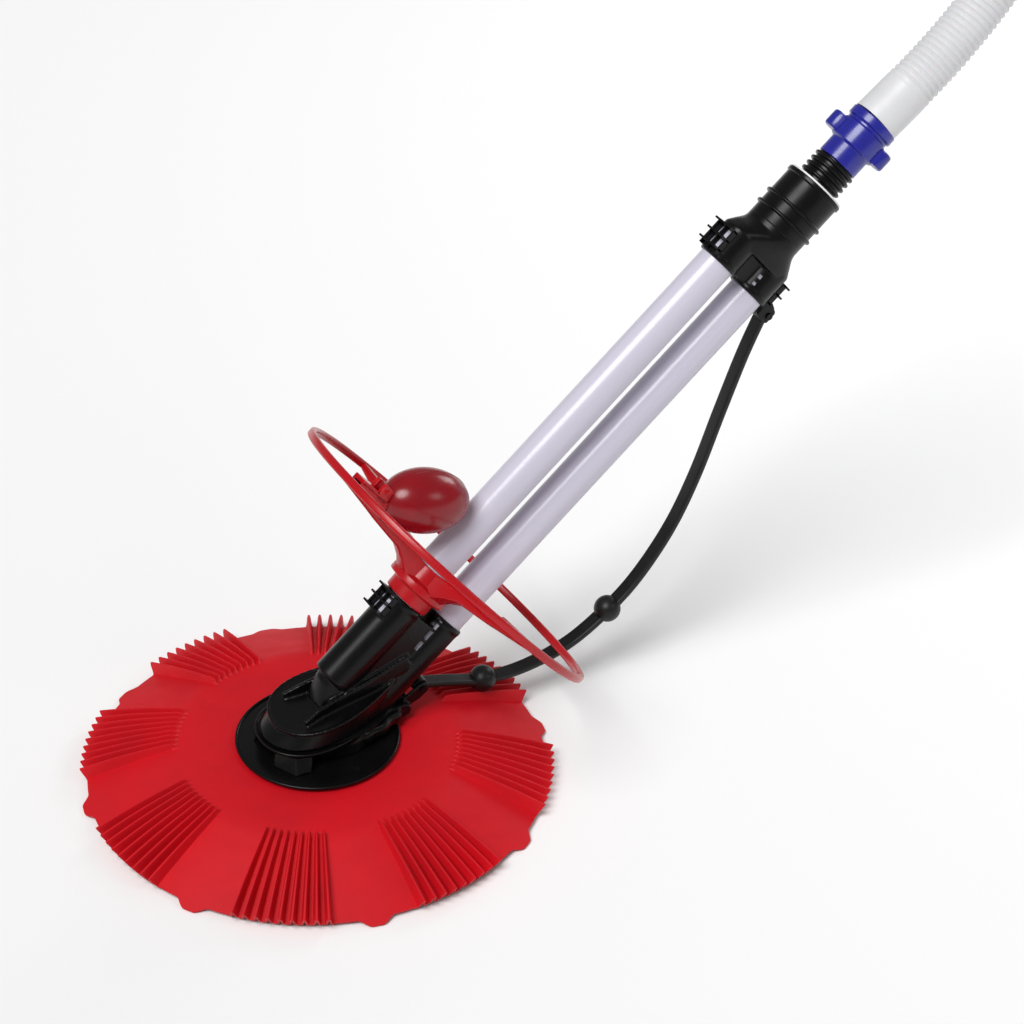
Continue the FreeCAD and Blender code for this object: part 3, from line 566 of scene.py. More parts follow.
def dressed(item: bpy.types.Object, slot: Slot, body: Body, replaces: Sequence[str] = (),
            finish: Finish | None = None, angle_deg: float = 32.0) -> bpy.types.Object:
    """Give a made object its shading, its slot's material and its body, and hide the CAD nodes it stands for.

    Args:
        item: the object.
        slot: the record's material slot.
        body: the body it rides on.
        replaces: CAD nodes that it stands for.
        finish: a finish other than the slot's own.
        angle_deg: angle from which an edge is sharp.

    Returns:
        The object.
    """
    smooth(item.data, angle_deg)
    item.data.materials.clear()
    item.data.materials.append((finish or FINISHES[slot]).build())
    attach(item, body.value)
    if replaces:
        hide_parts(*replaces)
    LOG.info("%s: %d faces on %s", item.name, len(item.data.polygons), body.value)
    return item


def moulded(name: str, shape: Shape, voxel_mm: float, passes: int) -> bpy.types.Object:
    """Melt a shape's skins into one moulded skin with small fillets where they meet.

    Args:
        name: the piece's name.
        shape: overlapping closed skins.
        voxel_mm: cell size of the remesh.
        passes: smoothing passes, which set the size of the fillets.

    Returns:
        The object, with its modifiers applied.
    """
    item = place_in_scene(name, shape.mesh(name))
    melt = item.modifiers.new("melt", "REMESH")
    melt.mode = "VOXEL"
    melt.voxel_size = voxel_mm * MM
    ease = item.modifiers.new("ease", "SMOOTH")
    ease.factor = 0.5
    ease.iterations = passes
    return settle(item)


def hollowed(item: bpy.types.Object, hollow: Shape) -> bpy.types.Object:
    """Take a drawn hollow out of an object.

    Args:
        item: the object.
        hollow: one closed skin, which is not kept.

    Returns:
        The object.
    """
    tool = place_in_scene(f"{item.name}_hollow", hollow.mesh("hollow"))
    bite = item.modifiers.new("hollow", "BOOLEAN")
    bite.operation = "DIFFERENCE"
    bite.solver = "EXACT"
    bite.object = tool
    settle(item)
    bpy.data.objects.remove(tool)
    return item


# ---------------------------------------------------------------- repeating pieces

def new_tree(name: str, inputs: dict[str, float]) -> bpy.types.NodeTree:
    """Empty Geometry Nodes tree with one geometry output and named number inputs.

    Args:
        name: the tree's name.
        inputs: name and default of each number input.

    Returns:
        The tree.
    """
    tree = bpy.data.node_groups.new(name, "GeometryNodeTree")
    tree.interface.new_socket("Geometry", in_out="INPUT", socket_type="NodeSocketGeometry")
    for label, value in inputs.items():
        socket = tree.interface.new_socket(label, in_out="INPUT", socket_type="NodeSocketFloat")
        socket.default_value = value
    tree.interface.new_socket("Geometry", in_out="OUTPUT", socket_type="NodeSocketGeometry")
    return tree


def close_tree(tree: bpy.types.NodeTree, geometry: bpy.types.Node, finish: Finish) -> None:
    """End a tree in Realize Instances and Set Material.

    Args:
        tree: the tree.
        geometry: the node that makes its geometry.
        finish: the finish of what it makes.
    """
    plain = add(tree, "GeometryNodeRealizeInstances", geometry)
    coated = add(tree, "GeometryNodeSetMaterial", plain)
    coated.inputs["Material"].default_value = finish.build()
    add(tree, "NodeGroupOutput", coated)


def grown(name: str, tree: bpy.types.NodeTree, sizes: dict[str, float]) -> bpy.types.Object:
    """Run a tree with its sizes set by socket identifier, and keep the plain mesh.

    Args:
        name: name of the object.
        tree: the Geometry Nodes tree.
        sizes: value of each named input.

    Returns:
        The object with a plain mesh and no modifier.
    """
    item = place_in_scene(name, bpy.data.meshes.new(name))
    modifier = item.modifiers.new("grow", "NODES")
    modifier.node_group = tree
    idents = {entry.name: entry.identifier for entry in tree.interface.items_tree
              if getattr(entry, "in_out", "") == "INPUT"}
    for label, value in sizes.items():
        modifier[idents[label]] = value
    return settle(item)


def moved(item: bpy.types.Object, place: Matrix) -> bpy.types.Object:
    """Carry a mesh in metres by a matrix in millimetres."""
    item.data.transform(Matrix.Scale(MM, 4) @ place @ Matrix.Scale(1 / MM, 4))
    return item


def joined(name: str, items: Sequence[bpy.types.Object]) -> bpy.types.Object:
    """Make one object of several meshes.

    Args:
        name: the new object's name.
        items: objects that are merged into it and go.

    Returns:
        The new object.
    """
    work = bmesh.new()
    for item in items:
        work.from_mesh(item.data)
        bpy.data.objects.remove(item)
    mesh = bpy.data.meshes.new(name)
    work.to_mesh(mesh)
    work.free()
    return place_in_scene(name, mesh)


def ring_stack_tree(finish: Finish) -> bpy.types.NodeTree:
    """Tree for round ridges at an even pitch up an axis.

    Args:
        finish: the ridges' finish.

    Returns:
        The tree.
    """
    tree = new_tree("Ring stack", {"Radius": 0.02, "Thickness": 0.002, "First": 0.0, "Pitch": 0.006,
                                   "Count": 4.0})
    given = add(tree, "NodeGroupInput")
    path = add(tree, "GeometryNodeCurvePrimitiveCircle", in_resolution=96, in_radius=given.outputs["Radius"])
    bead = add(tree, "GeometryNodeCurvePrimitiveCircle", in_resolution=16,
               in_radius=given.outputs["Thickness"])
    ridge = add(tree, "GeometryNodeCurveToMesh", path, bead)
    start = add(tree, "ShaderNodeCombineXYZ", None, None, given.outputs["First"])
    step = add(tree, "ShaderNodeCombineXYZ", None, None, given.outputs["Pitch"])
    spots = add(tree, "GeometryNodeMeshLine", in_count=given.outputs["Count"], in_start_location=start,
                in_offset=step)
    stack = add(tree, "GeometryNodeInstanceOnPoints", spots, None, ridge)
    close_tree(tree, add(tree, "GeometryNodeSetShadeSmooth", stack), finish)
    return tree


def fin_tree(finish: Finish) -> bpy.types.NodeTree:
    """Tree for a row of flat fins at an even pitch up an axis.

    Args:
        finish: the fins' finish.

    Returns:
        The tree.
    """
    tree = new_tree("Fin row", {"Deep": 0.03, "Wide": 0.027, "Thick": 0.002, "Reach": 0.05, "First": 0.1,
                                "Pitch": 0.012, "Count": 3.0})
    given = add(tree, "NodeGroupInput")
    size = add(tree, "ShaderNodeCombineXYZ", *[given.outputs[word] for word in ("Deep", "Wide", "Thick")])
    fin = add(tree, "GeometryNodeMeshCube", size)
    start = add(tree, "ShaderNodeCombineXYZ", given.outputs["Reach"], None, given.outputs["First"])
    step = add(tree, "ShaderNodeCombineXYZ", None, None, given.outputs["Pitch"])
    spots = add(tree, "GeometryNodeMeshLine", in_count=given.outputs["Count"], in_start_location=start,
                in_offset=step)
    close_tree(tree, add(tree, "GeometryNodeInstanceOnPoints", spots, None, fin), finish)
    return tree


# ---------------------------------------------------------------- frames

class Tubes:
    """The tube frame, read from the hose swivel's axis."""

    def __init__(self) -> None:
        """Work out the lean of the tubes and where their common axis crosses the disc's."""
        joint = next(entry for entry in FRAME["joints"] if entry["name"] == "hose_swivel")
        axis, spot = Vector(joint["axis"]), Vector(joint["pos_m"]) / MM
        self.lean = math.atan2(axis.z, axis.x)
        self.height = spot.z - spot.x * math.tan(self.lean)

    def matrix(self, out: float = 0.0) -> Matrix:
        """Matrix from the tube frame to the row's.

        Args:
            out: how far the axis in use stands above the common one, in millimetres.

        Returns:
            The matrix, in millimetres both sides.
        """
        turn = Matrix.Rotation(math.pi / 2 - self.lean, 4, "Y")
        foot = (-out * math.sin(self.lean), 0, self.height + out * math.cos(self.lean))
        return Matrix.Translation(foot) @ turn

    def point(self, up: float, out: float) -> Vector:
        """Row-frame point from a distance up the tubes and a height above their common axis."""
        return self.matrix() @ Vector((-out, 0, up))


TUBES = Tubes()
TUBE_OFFSET = 29.0
SOCKET_RADIUS = 21.5
THROAT_RADIUS = 27.0
SLOT_DEG = 44.0


# ---------------------------------------------------------------- foot and disc

@dataclass
class FinnedDisc:
    """Flexible disc: a dished sheet with eight fans of tall radial pleats and a lobed rim."""

    inner: float = 36.0
    land_rim: float = 229.0
    pleat_rim: float = 229.5
    finger: float = 6.5
    lobe: float = 7.5
    lobe_half_deg: float = 4.6
    fans: int = 8
    first_fan_deg: float = 10.0
    pleats: int = 9
    pitch_deg: float = 45 / 16
    pleat_height: float = 14.0
    thickness: float = 2.0
    columns: int = 1536
    rows: int = 29
    profile: tuple[Flat, ...] = ((0, 36.6), (36, 36.6), (75, 36.8), (84, 39.4), (110, 39.4), (138, 37.6),
                                 (160, 31.5), (190, 20.8), (240, 0.6))
    swell: tuple[Flat, ...] = ((0, 0), (136, 0), (143, 0.4), (165, 0.55), (200, 0.8), (240, 1))
    spacing: tuple[Flat, ...] = ((0, 0), (0.2, 0.48), (0.24, 0.5), (0.48, 0.56), (0.52, 0.585), (1, 1))

    def curve(self, tree: bpy.types.NodeTree, value: object, points: Sequence[Flat], reach: float,
              rise: float) -> bpy.types.Node:
        """Node that follows a drawn curve.

        Args:
            tree: the tree that takes it.
            value: what the curve is read at.
            points: places along the curve and its values there.
            reach: place that counts as the curve's end.
            rise: value that counts as its top.

        Returns:
            The curve's value, in the points' own units.
        """
        share = add(tree, "ShaderNodeMath", value, 1 / reach, operation="MULTIPLY")
        curve = add(tree, "ShaderNodeFloatCurve", None, share)
        spots = curve.mapping.curves[0].points
        spots[0].location = (points[0][0] / reach, points[0][1] / rise)
        spots[1].location = (points[-1][0] / reach, points[-1][1] / rise)
        for place, height in points[1:-1]:
            spots.new(place / reach, height / rise)
        curve.mapping.update()
        return add(tree, "ShaderNodeMath", curve, rise, operation="MULTIPLY")

    def tree(self) -> bpy.types.NodeTree:
        """Tree that wraps a flat grid into the pleated disc.

        Returns:
            The tree.
        """
        tree = new_tree("Pleated disc", {"Inner": 0.036, "Rim": 0.229, "Pleat rim": 0.005, "Lobe": 0.006,
                                         "Fan turn": 0.25, "Fan width": 0.42, "Pleat pitch": 0.047,
                                         "Pleat height": 0.015})
        given = add(tree, "NodeGroupInput").outputs
        grid = add(tree, "GeometryNodeMeshGrid", 1.0, 1.0, self.columns + 1, self.rows + 1)
        flat = add(tree, "ShaderNodeSeparateXYZ", add(tree, "GeometryNodeInputPosition"))
        start = add(tree, "ShaderNodeMath", given["Fan turn"], math.pi, operation="ADD")
        turn = add(tree, "ShaderNodeMath", flat.outputs[0], 2 * math.pi, start, operation="MULTIPLY_ADD")
        share = add(tree, "ShaderNodeMath", 0.5, flat.outputs[1], operation="SUBTRACT")
        packed = self.curve(tree, share, self.spacing, 1.0, 1.0)

        half_fan = math.pi / self.fans
        from_fan = add(tree, "ShaderNodeMath", turn, given["Fan turn"], operation="SUBTRACT")
        local = add(tree, "ShaderNodeMath", from_fan, half_fan, -half_fan, operation="WRAP")
        away = add(tree, "ShaderNodeMath", local, operation="ABSOLUTE")
        half_width = add(tree, "ShaderNodeMath", given["Fan width"], 0.5, operation="MULTIPLY")
        past_edge = add(tree, "ShaderNodeMath", away, half_width, operation="SUBTRACT")
        inside = add(tree, "ShaderNodeMath", past_edge, 0.0, operation="LESS_THAN")
        phase = add(tree, "ShaderNodeMath", local, given["Pleat pitch"], operation="DIVIDE")
        angle = add(tree, "ShaderNodeMath", phase, 2 * math.pi, operation="MULTIPLY")
        wave = add(tree, "ShaderNodeMath", angle, operation="COSINE")
        raised = add(tree, "ShaderNodeMath", wave, 0.5, 0.5, operation="MULTIPLY_ADD")
        fold = add(tree, "ShaderNodeMapRange", raised, 0.3, 0.95, 0.0, 1.0, interpolation_type="SMOOTHSTEP")
        folded = add(tree, "ShaderNodeMath", fold, inside, operation="MULTIPLY")

        from_land = add(tree, "ShaderNodeMath", away, half_fan, operation="SUBTRACT")
        land_away = add(tree, "ShaderNodeMath", from_land, operation="ABSOLUTE")
        lobe_edge = math.radians(self.lobe_half_deg)
        lobe = add(tree, "ShaderNodeMapRange", land_away, lobe_edge * 0.25, lobe_edge, 1.0, 0.0,
                   interpolation_type="SMOOTHSTEP")
        rim = add(tree, "ShaderNodeMath", lobe, given["Lobe"], given["Rim"], operation="MULTIPLY_ADD")
        rim = add(tree, "ShaderNodeMath", inside, given["Pleat rim"], rim, operation="MULTIPLY_ADD")
        rim = add(tree, "ShaderNodeMath", folded, self.finger * MM, rim, operation="MULTIPLY_ADD")
        radius = add(tree, "ShaderNodeMapRange", packed, 0.0, 1.0, given["Inner"], rim)

        reach, top = self.swell[-1][0] * MM, 0.05
        rise = self.curve(tree, radius, [(r * MM, part) for r, part in self.swell], reach, 1.0)
        ridge = add(tree, "ShaderNodeMath", rise, folded, operation="MULTIPLY")
        sheet = self.curve(tree, radius, [(r * MM, z * MM) for r, z in self.profile], reach, top)
        ridge = add(tree, "ShaderNodeMath", ridge, given["Pleat height"], sheet, operation="MULTIPLY_ADD")
        across = add(tree, "ShaderNodeMath", turn, operation="COSINE")
        aside = add(tree, "ShaderNodeMath", turn, operation="SINE")
        along_x = add(tree, "ShaderNodeMath", radius, across, operation="MULTIPLY")
        along_y = add(tree, "ShaderNodeMath", radius, aside, operation="MULTIPLY")
        spot = add(tree, "ShaderNodeCombineXYZ", along_x, along_y, ridge)
        wrapped = add(tree, "GeometryNodeSetPosition", grid, None, spot)
        sealed = add(tree, "GeometryNodeMergeByDistance", wrapped, in_distance=0.05 * MM)
        close_tree(tree, sealed, RED_VINYL)
        return tree

    def build(self) -> None:
        """Grow the disc, give it its thickness and put it on the foot."""
        pitch = math.radians(self.pitch_deg)
        item = grown("pleated_disc", self.tree(), {
            "Inner": self.inner * MM, "Rim": self.land_rim * MM,
            "Pleat rim": (self.pleat_rim - self.land_rim) * MM, "Lobe": self.lobe * MM,
            "Fan turn": math.radians(self.first_fan_deg), "Fan width": pitch * self.pleats,
            "Pleat pitch": pitch, "Pleat height": self.pleat_height * MM})
        wall = item.modifiers.new("wall", "SOLIDIFY")
        wall.thickness = self.thickness * MM
        wall.offset = -1
        settle(item)
        dressed(item, Slot.RED_VINYL, Body.FOOT, ["finned_disc"], angle_deg=60)


@dataclass
class FootFlange:
    """Black flange and neck that the foot turns on, with a rolled bead round its edge."""

    radius: float = 81.8
    top: float = 43.2
    neck: float = 31.6
    throat: float = THROAT_RADIUS
    bead: float = 1.5

    def build(self) -> None:
        """Turn the flange and put it on the head."""
        centre = (self.radius - self.bead, self.top - 0.1)
        bead = [(centre[0] + self.bead * c, centre[1] + self.bead * s) for c, s in circle(24)]
        outline = softened([(self.throat, 9), (self.neck, 9), (self.neck, 12), (self.neck - 2, 12),
                            (self.neck - 2, 14.6), (self.neck, 14.6), (self.neck, self.top - 3),
                            (self.radius - 2, self.top - 2.6), (self.radius - 2, self.top - 0.4),
                            (66, self.top - 0.2), (self.neck, self.top), (self.neck, 54),
                            (self.throat, 54)], 0.5)
        shape = Shape().lathe(outline, 144).lathe(bead, 144)
        piece("flange", shape, Slot.BLACK_PLASTIC, Body.HEAD, ["foot_flange"])


# ---------------------------------------------------------------- head

@dataclass
class Lip:
    """One of the head's two egg-shaped lips, with a thin raised rim round a shallow tray."""

    centre: float
    half_long: float
    half_wide: float
    height: float
    slope_deg: float
    narrowing: float = 0.42
    thickness: float = 3.2

    def ring(self, inset: float, lift: float) -> list[Sequence[float]]:
        """Points round the lip on its sloping plane.

        Args:
            inset: distance that they are drawn in.
            lift: distance above the plane.

        Returns:
            The points in order.
        """
        slope = math.tan(math.radians(self.slope_deg))
        return [(x, y, self.height + (x - self.centre) * slope + lift)
                for x, y in egg(self.centre, self.half_long, self.half_wide, self.narrowing, inset)]

    def draw(self, shape: Shape) -> None:
        """Add the lip to a shape."""
        low = -self.thickness
        shape.skin([self.ring(14, low), self.ring(3, low), self.ring(0.5, low + 0.6), self.ring(0, low + 1.6),
                    self.ring(0, 0.4), self.ring(0.5, 1.1), self.ring(1.7, 1.1), self.ring(2.2, 0.4),
                    self.ring(3.4, -0.6), self.ring(14, -0.9), self.ring(30, -0.9)])


LOWER_LIP = Lip(centre=12.0, half_long=75.0, half_wide=44.0, height=62.4, slope_deg=0.0)
UPPER_LIP = Lip(centre=24.0, half_long=73.0, half_wide=43.0, height=91.0, slope_deg=9.0)


def windows(side: int, feet: Sequence[float], tall: float = 8.8) -> list[Shape]:
    """Hollows for the small windows of a socket's lattice, through which the pale tube shows.

    Args:
        side: 1 for the lower tube's socket, -1 for the upper one's.
        feet: height of each row's lower edge.
        tall: height of a window.

    Returns:
        One shape for each window.
    """
    half_wide, reach = 4.6, span(side, TUBE_OFFSET + 12, TUBE_OFFSET + 26)
    return [Shape(TUBES.matrix()).block(reach, (y - half_wide, y + half_wide), (foot, foot + tall))
            for foot in feet for y in (-6.3, 6.3)]


def slots(side: int, runs: Sequence[Flat], half_wide: float) -> list[Shape]:
    """Hollows for the short slots up one side of the lower tube's socket.

    Args:
        side: 1 or -1, for the side of the machine.
        runs: low and high end of each slot, up the tube.
        half_wide: half a slot's width.

    Returns:
        One shape for each slot.
    """
    turn = Matrix.Rotation(math.radians(180 + side * SLOT_DEG), 4, "Z")
    place = TUBES.matrix(-TUBE_OFFSET) @ turn
    return [Shape(place).block((14, 26), (-half_wide, half_wide), run) for run in runs]


@dataclass
class FinLattice:
    """Lattice on the outer side of a tube socket: three cross fins between three rails."""

    side: int
    first: float
    pitch: float
    rail_run: Flat
    deep: float = 17.0
    wide: float = 27.0
    thick: float = 2.0
    fins: int = 3
    rails: tuple[float, ...] = (-12.6, 0.0, 12.6)
    rail_half: float = 0.9

    def build(self, name: str) -> list[bpy.types.Object]:
        """Grow the fins and draw the rails.

        Args:
            name: what the two meshes are called after.

        Returns:
            The fins and the rails.
        """
        cross = grown(f"{name}_cross", fin_tree(BLACK_ABS), {
            "Deep": self.deep * MM, "Wide": self.wide * MM, "Thick": self.thick * MM,
            "Reach": self.side * (TUBE_OFFSET + SOCKET_RADIUS) * MM, "First": self.first * MM,
            "Pitch": self.pitch * MM, "Count": float(self.fins)})
        moved(cross, TUBES.matrix())
        along = Shape(TUBES.matrix())
        for y in self.rails:
            along.block(span(self.side, TUBE_OFFSET + 18, TUBE_OFFSET + 24),
                        (y - self.rail_half, y + self.rail_half), self.rail_run)
        return [cross, place_in_scene(f"{name}_rails", along.mesh(f"{name}_rails"))]


@dataclass
class LowerCasing:
    """Lower half of the head: a pointed pedestal, the lower lip, a lumpy heel and the strap's ears."""

    foot: float = 43.0
    neck: float = 31.6
    wave: float = 0.085
    waves: int = 15

    def build(self) -> None:
        """Draw and melt the casing, bore its throat and put it on the head."""
        shape = Shape()
        rings = []
        for height, centre, half_long, half_wide, narrowing in (
                (self.foot, 4, 48, 41, -0.34), (48, 5, 49, 41, -0.3), (55, 8, 53, 42, -0.1),
                (60.5, 13, 60, 42, 0.2)):
            rings.append([(x, y, height) for x, y in egg(centre, half_long, half_wide, narrowing)])
        shape.skin(rings)
        LOWER_LIP.draw(shape)
        for side in (-1, 1):
            foot = [(-60, -22), (-47, -48.4), (-30, -49), (-16, -18)]
            top = [(-55, -18), (-42, -37.5), (-25, -42), (-16, -18)]
            shape.skin([[(x, -side * y, self.foot) for x, y in foot], [(x, -side * y, 60) for x, y in top]])
        keel = softened([(30, 45.4), (84, 45.4), (94, 50), (96, 57), (90, 62.4), (30, 62.4)], 4)
        shape.prism(keel, -19, 19)
        heel = []
        middle, count = 40, 192
        for inset, height in ((5, 45.6), (1.5, 46.8), (0, 50), (0, 56), (2.5, 60.5)):
            ring = []
            for (c, s), (x, y) in zip(circle(count), egg(middle, 56.0, 39.0, 0.3, inset, count)):
                lump = 0.5 + 0.5 * math.cos(self.waves * math.atan2(s, c))
                swell = 1 + self.wave * max(c + 0.15, 0) ** 0.5 * lump
                ring.append((middle + (x - middle) * swell, y * swell, height))
            heel.append(ring)
        shape.skin(heel)
        for side in (-1, 1):
            ear = softened([(86, 50), (108, 58), (119, 66), (118, 74), (110, 76), (86, 62)], 3)
            shape.prism(ear, *span(side, 9.2, 12.8))
        item = moulded("lower_shell", shape, voxel_mm=1.1, passes=3)
        hollowed(item, Shape().rod(self.neck, self.foot - 3, 53.9, edge=0.01))
        hollowed(item, Shape().rod(THROAT_RADIUS, 50, 75, edge=0.01))
        dressed(item, Slot.BLACK_PLASTIC, Body.HEAD, ["lower_casing"], angle_deg=50)


@dataclass
class UpperCasing:
    """Upper half of the head: the upper lip, the cowl under the tubes, two sockets, ribs and web."""

    upper_mouth: float = 153.0
    lower_mouth: float = 163.0
    web_half: float = 16.3
    web_edge: float = 15.0
    slot_runs: tuple[Flat, ...] = ((121.0, 132.0), (135.0, 146.0), (149.0, 159.5))

    def draw_skirt(self, shape: Shape) -> None:
        """Add the wall between the two lips, drawn in from both of them.

        Args:
            shape: the shape that takes it.
        """
        low = LOWER_LIP.ring(5.0, 1.0)
        high = UPPER_LIP.ring(5.0, -2.0)
        shape.skin([low, [tuple((Vector(a) + Vector(b)) / 2) for a, b in zip(low, high)], high])

    def draw_cowl(self, shape: Shape) -> None:
        """Add the swelling that gathers both passages below the sockets.

        Args:
            shape: the shape that takes it, in the tube frame.
        """
        rings = []
        for up, out_low, out_high, half_wide in ((18, 30, 30, 22), (40, 42, 44, 17.5), (62, 49, 49, 16.5),
                                                 (76, 50.5, 50, 16.5), (82, 49, 48, 16.5)):
            middle, half_long = (out_high - out_low) / 2, (out_high + out_low) / 2
            rings.append(squared(half_long, half_wide, 0.75, up, -middle))
        shape.skin(rings)

    def draw_sockets(self, shape: Shape) -> None:
        """Add two tube sockets with a band at each mouth, and the web between them.

        Args:
            shape: the shape that takes them, in the tube frame.
        """
        for x, mouth in ((-TUBE_OFFSET, self.upper_mouth), (TUBE_OFFSET, self.lower_mouth)):
            shape.rod(SOCKET_RADIUS - 0.3, 47, mouth, (x, 0), edge=1.2)
            shape.rod(SOCKET_RADIUS + 0.4, mouth - 6, mouth - 0.5, (x, 0), edge=0.6)
        shape.block((-TUBE_OFFSET, self.web_edge), (-self.web_half, self.web_half),
                    (58, self.upper_mouth - 4))
        shape.block((-TUBE_OFFSET - 21.8, -TUBE_OFFSET), (-12.2, 12.2), (127.5, 151.5))

    def draw_ribs(self, shape: Shape) -> None:
        """Add two ribs that run from the nose of the deck up both sides to the web, meeting in a V.

        Args:
            shape: the shape that takes them.
        """
        wide, tall = 2.8, 4.4
        for side in (-1, 1):
            run = [Vector(spot) for spot in ((-24, side * 25, 84), (-6, side * 21.5, 91.5),
                                             (16.6, side * 20, 96.8), (44.4, side * 20, 104),
                                             (68, side * 18.5, 111), (93, side * 17, 118.5))]
            rings = []
            for k, spot in enumerate(run):
                ahead = (run[min(k + 1, len(run) - 1)] - run[max(k - 1, 0)]).normalized()
                across = ahead.cross(Vector((0, 0, 1))).normalized()
                up = across.cross(ahead)
                rings.append([spot + across * wide * u + up * tall * v
                              for u, v in ((-1, -2.6), (1, -2.6), (0.8, 1), (-0.8, 1))])
            shape.skin(rings)

    def hollows(self) -> list[Shape]:
        """All that lies below the lower lip, the throat, the flapper's chamber, windows and slots.

        Returns:
            One shape for each hollow, in the order they are taken out.
        """
        chamber = [(-14, 8), (-22, 30), (-40, 68), (-40, 90), (40, 90), (40, 68), (22, 30), (14, 8)]
        return [Shape().block((-90, 130), (-70, 70), (20, LOWER_LIP.height + 0.6)),
                Shape().rod(THROAT_RADIUS, 50, 78, edge=0.01),
                Shape(TUBES.matrix()).prism(chamber, -14, 14), *windows(-1, (129.4, 141.0)),
                *slots(-1, self.slot_runs, 1.8), *slots(1, self.slot_runs, 1.8)]

    def build(self) -> None:
        """Draw and melt the casing, hollow it and put it on the head, then add its fins."""
        shape = Shape()
        self.draw_skirt(shape)
        UPPER_LIP.draw(shape)
        self.draw_ribs(shape)
        shape.place = TUBES.matrix()
        self.draw_cowl(shape)
        self.draw_sockets(shape)
        item = moulded("upper_shell", shape, voxel_mm=1.25, passes=3)
        for hollow in self.hollows():
            hollowed(item, hollow)
        dressed(item, Slot.BLACK_PLASTIC, Body.HEAD, ["upper_casing"], angle_deg=50)
        fins = FinLattice(side=-1, first=128.0, pitch=11.5, rail_run=(128.0, 151.0))
        dressed(joined("head_fins", fins.build("head")), Slot.BLACK_PLASTIC, Body.HEAD)


# ---------------------------------------------------------------- tubes and ring

@dataclass
class SuctionTube:
    """One of the two smooth pipes between the head and the adaptor."""

    node: str
    out: float
    foot: float
    radius: float = 19.0
    bore: float = 17.0
    top: float = 633.0

    def build(self) -> None:
        """Turn the pipe with eased ends and put it on the head."""
        outline = softened([(self.bore, self.foot), (self.radius, self.foot), (self.radius, self.top),
                            (self.bore, self.top)], 0.5)
        shape = Shape(TUBES.matrix(self.out)).lathe(outline)
        piece(f"{self.node}_pipe", shape, Slot.GREY_TUBE, Body.HEAD, [self.node])


@dataclass
class BumperRing:
    """Red deflector ring round the upper tube, with its hub and three spokes."""

    radius: float = 177.5
    height: float = 213.2
    band: float = 8.4
    depth: float = 6.6
    hub_foot: float = 153.6
    hub_radius: float = 25.0
    bore: float = 19.05

    def build(self) -> None:
        """Draw hub, spokes and rim as one moulding on the head."""
        shape = Shape(TUBES.matrix(TUBE_OFFSET))
        half, deep = self.band / 2, self.depth / 2
        corners = [(self.radius - deep, self.height - half), (self.radius + deep, self.height - half),
                   (self.radius + deep, self.height + half), (self.radius - deep, self.height + half)]
        shape.lathe(softened(corners, 3.0, 6), 192)
        foot, top, wide = self.hub_foot, self.height - 19, self.hub_radius
        hub = softened([(self.bore, foot), (wide - 0.4, foot), (wide, foot + 13), (wide + 8, foot + 14.5),
                        (wide + 8, foot + 22), (wide + 2, foot + 25), (wide + 1.4, top), (self.bore, top)],
                       1.5)
        shape.lathe(hub)
        for turn in (90, 180, 270):
            shape.place = TUBES.matrix(TUBE_OFFSET) @ Matrix.Rotation(math.radians(turn), 4, "Z")
            self.draw_spoke(shape)
        piece("deflector_ring", shape, Slot.RED_PLASTIC, Body.HEAD, ["bumper_ring"])

    def draw_spoke(self, shape: Shape) -> None:
        """Add one spoke along X, deep and broad at the hub and slim at the rim.

        Args:
            shape: the shape that takes it, turned to the spoke's direction.
        """
        sections = ((20, 168, 194, 14.0), (30, 172, 196, 10.5), (44, 182, 198.6, 7.6),
                    (60, 189.5, 200.4, 6.0), (104, 196.2, 202.0, 5.3), (118, 199, 213.2, 5.2),
                    (176, 209.5, 216, 5.2))
        rings = []
        for reach, low, high, half_wide in sections:
            corners = [(-half_wide, low), (half_wide, low), (half_wide, high), (-half_wide, high)]
            rings.append([(reach, y, z) for y, z in softened(corners, 2.6)])
        shape.skin(rings)


